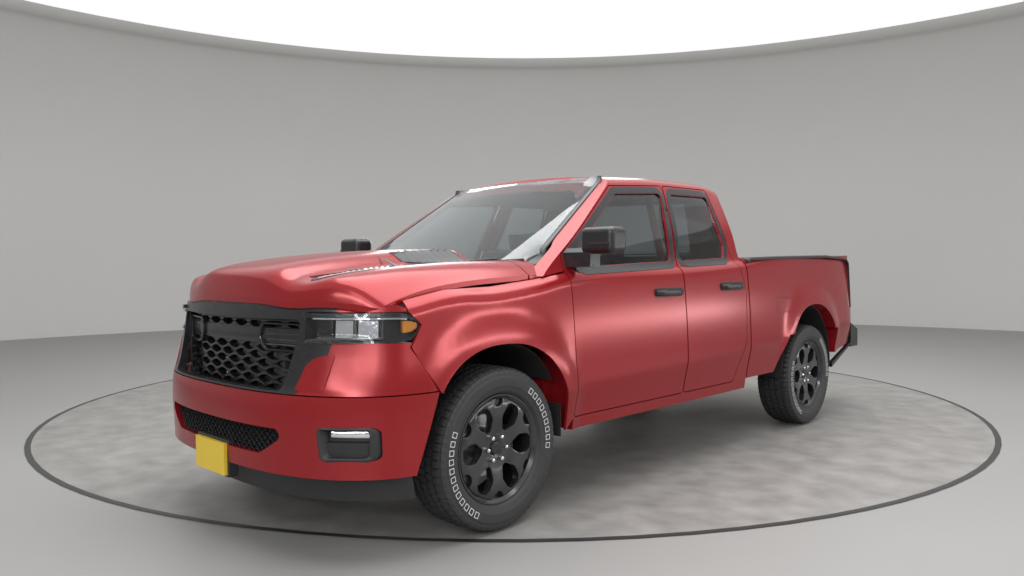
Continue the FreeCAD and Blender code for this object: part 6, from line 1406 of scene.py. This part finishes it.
make_finish("floor_smooth", (0.27, 0.267, 0.262), (0.32, 0.317, 0.310), roughness=(0.35, 0.5), mottle=0.5,
            grain=26.0, depth=0.04, grain_size=0.004)
make_finish("floor_stone", (0.13, 0.126, 0.12), (0.36, 0.35, 0.335), roughness=(0.35, 0.62), mottle=5.0,
            grain=22.0, depth=0.25, grain_size=0.006)
make_finish("ring_dark", (0.02, 0.02, 0.02), (0.03, 0.03, 0.03), roughness=(0.4, 0.5))
make_finish("wall_paint", (0.66, 0.655, 0.64), (0.70, 0.695, 0.68), roughness=(0.8, 0.9), mottle=0.4,
            grain=60.0, depth=0.05)
TURN = 96
ROOM_RADIUS = 13.0
turns = [2 * math.pi * index / TURN for index in range(TURN)]
FLOOR_HIGH = -0.006
rings = [0.0001, 4.0, ROOM_RADIUS * 0.9, ROOM_RADIUS]
floor_points = [(radius * math.cos(turn), radius * math.sin(turn), FLOOR_HIGH)
                for radius in rings for turn in turns]
stage_piece("floor", floor_points, ring_faces(len(rings), TURN), finish_of("floor_smooth"))
DISC = (-1.78, 1.04, 4.165)
for name, rings, finish in (
        ("turntable", [(0.0001, 0.002), (2.0, 0.002), (DISC[2] - 0.02, 0.002)], "floor_stone"),
        ("turntable_ring", [(DISC[2] - 0.02, 0.0025), (DISC[2] + 0.02, 0.0025)], "ring_dark")):
    points = [(DISC[0] + radius * math.cos(turn), DISC[1] + radius * math.sin(turn), height - 0.004)
              for radius, height in rings for turn in turns]
    stage_piece(name, points, ring_faces(len(rings), TURN), finish_of(finish))
wall_rows = [(ROOM_RADIUS, -0.01), (ROOM_RADIUS, 3.0), (ROOM_RADIUS, 5.95), (ROOM_RADIUS - 0.10, 6.02),
             (ROOM_RADIUS - 0.25, 6.02), (ROOM_RADIUS - 0.30, 6.20)]
wall_points = [(radius * math.cos(turn), radius * math.sin(turn), height)
               for radius, height in wall_rows for turn in turns]
stage_piece("wall", wall_points, [face[::-1] for face in ring_faces(len(wall_rows), TURN)],
            finish_of("wall_paint"))
print("room", 2 * ROOM_RADIUS, "m across")


# %% Light
def soft_panel(name, place, aim, size, power):
    lamp = bpy.data.lights.new(name, "AREA")
    lamp.shape = "RECTANGLE"
    lamp.size, lamp.size_y = size
    lamp.energy = power
    thing = bpy.data.objects.new(name, lamp)
    thing.location = place
    thing.rotation_euler = (Vector(aim) - Vector(place)).to_track_quat("-Z", "Y").to_euler()
    bpy.context.scene.collection.objects.link(thing)
    return thing


soft_panel("ceiling panel", (0.5, -0.5, 6.4), (0, 0, 0), (7.0, 7.0), 620)
soft_panel("front panel", (5.5, -7.5, 4.2), (0.2, -0.8, 0.7), (5.0, 3.0), 160)
soft_panel("side strip", (8.5, 1.5, 3.4), (0.4, 0.2, 0.9), (9.0, 0.45), 190)
soft_panel("front strip", (4.0, -9.0, 3.2), (0.2, -1.8, 0.9), (7.0, 0.40), 170)
soft_panel("low strip", (8.2, 6.6, 1.15), (0.6, 0.0, 0.9), (7.0, 0.30), 90)
soft_panel("back panel", (-6.0, 5.5, 4.0), (0, 0.5, 0.9), (5.0, 3.0), 150)
world = bpy.data.worlds.new("studio")
bpy.context.scene.world = world
world.use_nodes = True
sky = world.node_tree
background = sky.nodes["Background"]
rays = sky.nodes.new("ShaderNodeLightPath")
seen = sky.nodes.new("ShaderNodeMath")
seen.operation = "MAXIMUM"
seen_more = sky.nodes.new("ShaderNodeMath")
seen_more.operation = "MAXIMUM"
link(sky, rays.outputs["Is Camera Ray"], seen.inputs[0])
link(sky, rays.outputs["Is Glossy Ray"], seen.inputs[1])
link(sky, seen.outputs[0], seen_more.inputs[0])
link(sky, rays.outputs["Is Transmission Ray"], seen_more.inputs[1])
strength = sky.nodes.new("ShaderNodeMapRange")
strength.inputs["To Min"].default_value = 0.5
strength.inputs["To Max"].default_value = 1.0
link(sky, seen_more.outputs[0], strength.inputs["Value"])
link(sky, strength.outputs["Result"], background.inputs["Strength"])
background.inputs["Color"].default_value = (1.0, 1.0, 1.0, 1)
bpy.context.scene.view_settings.view_transform = "Standard"
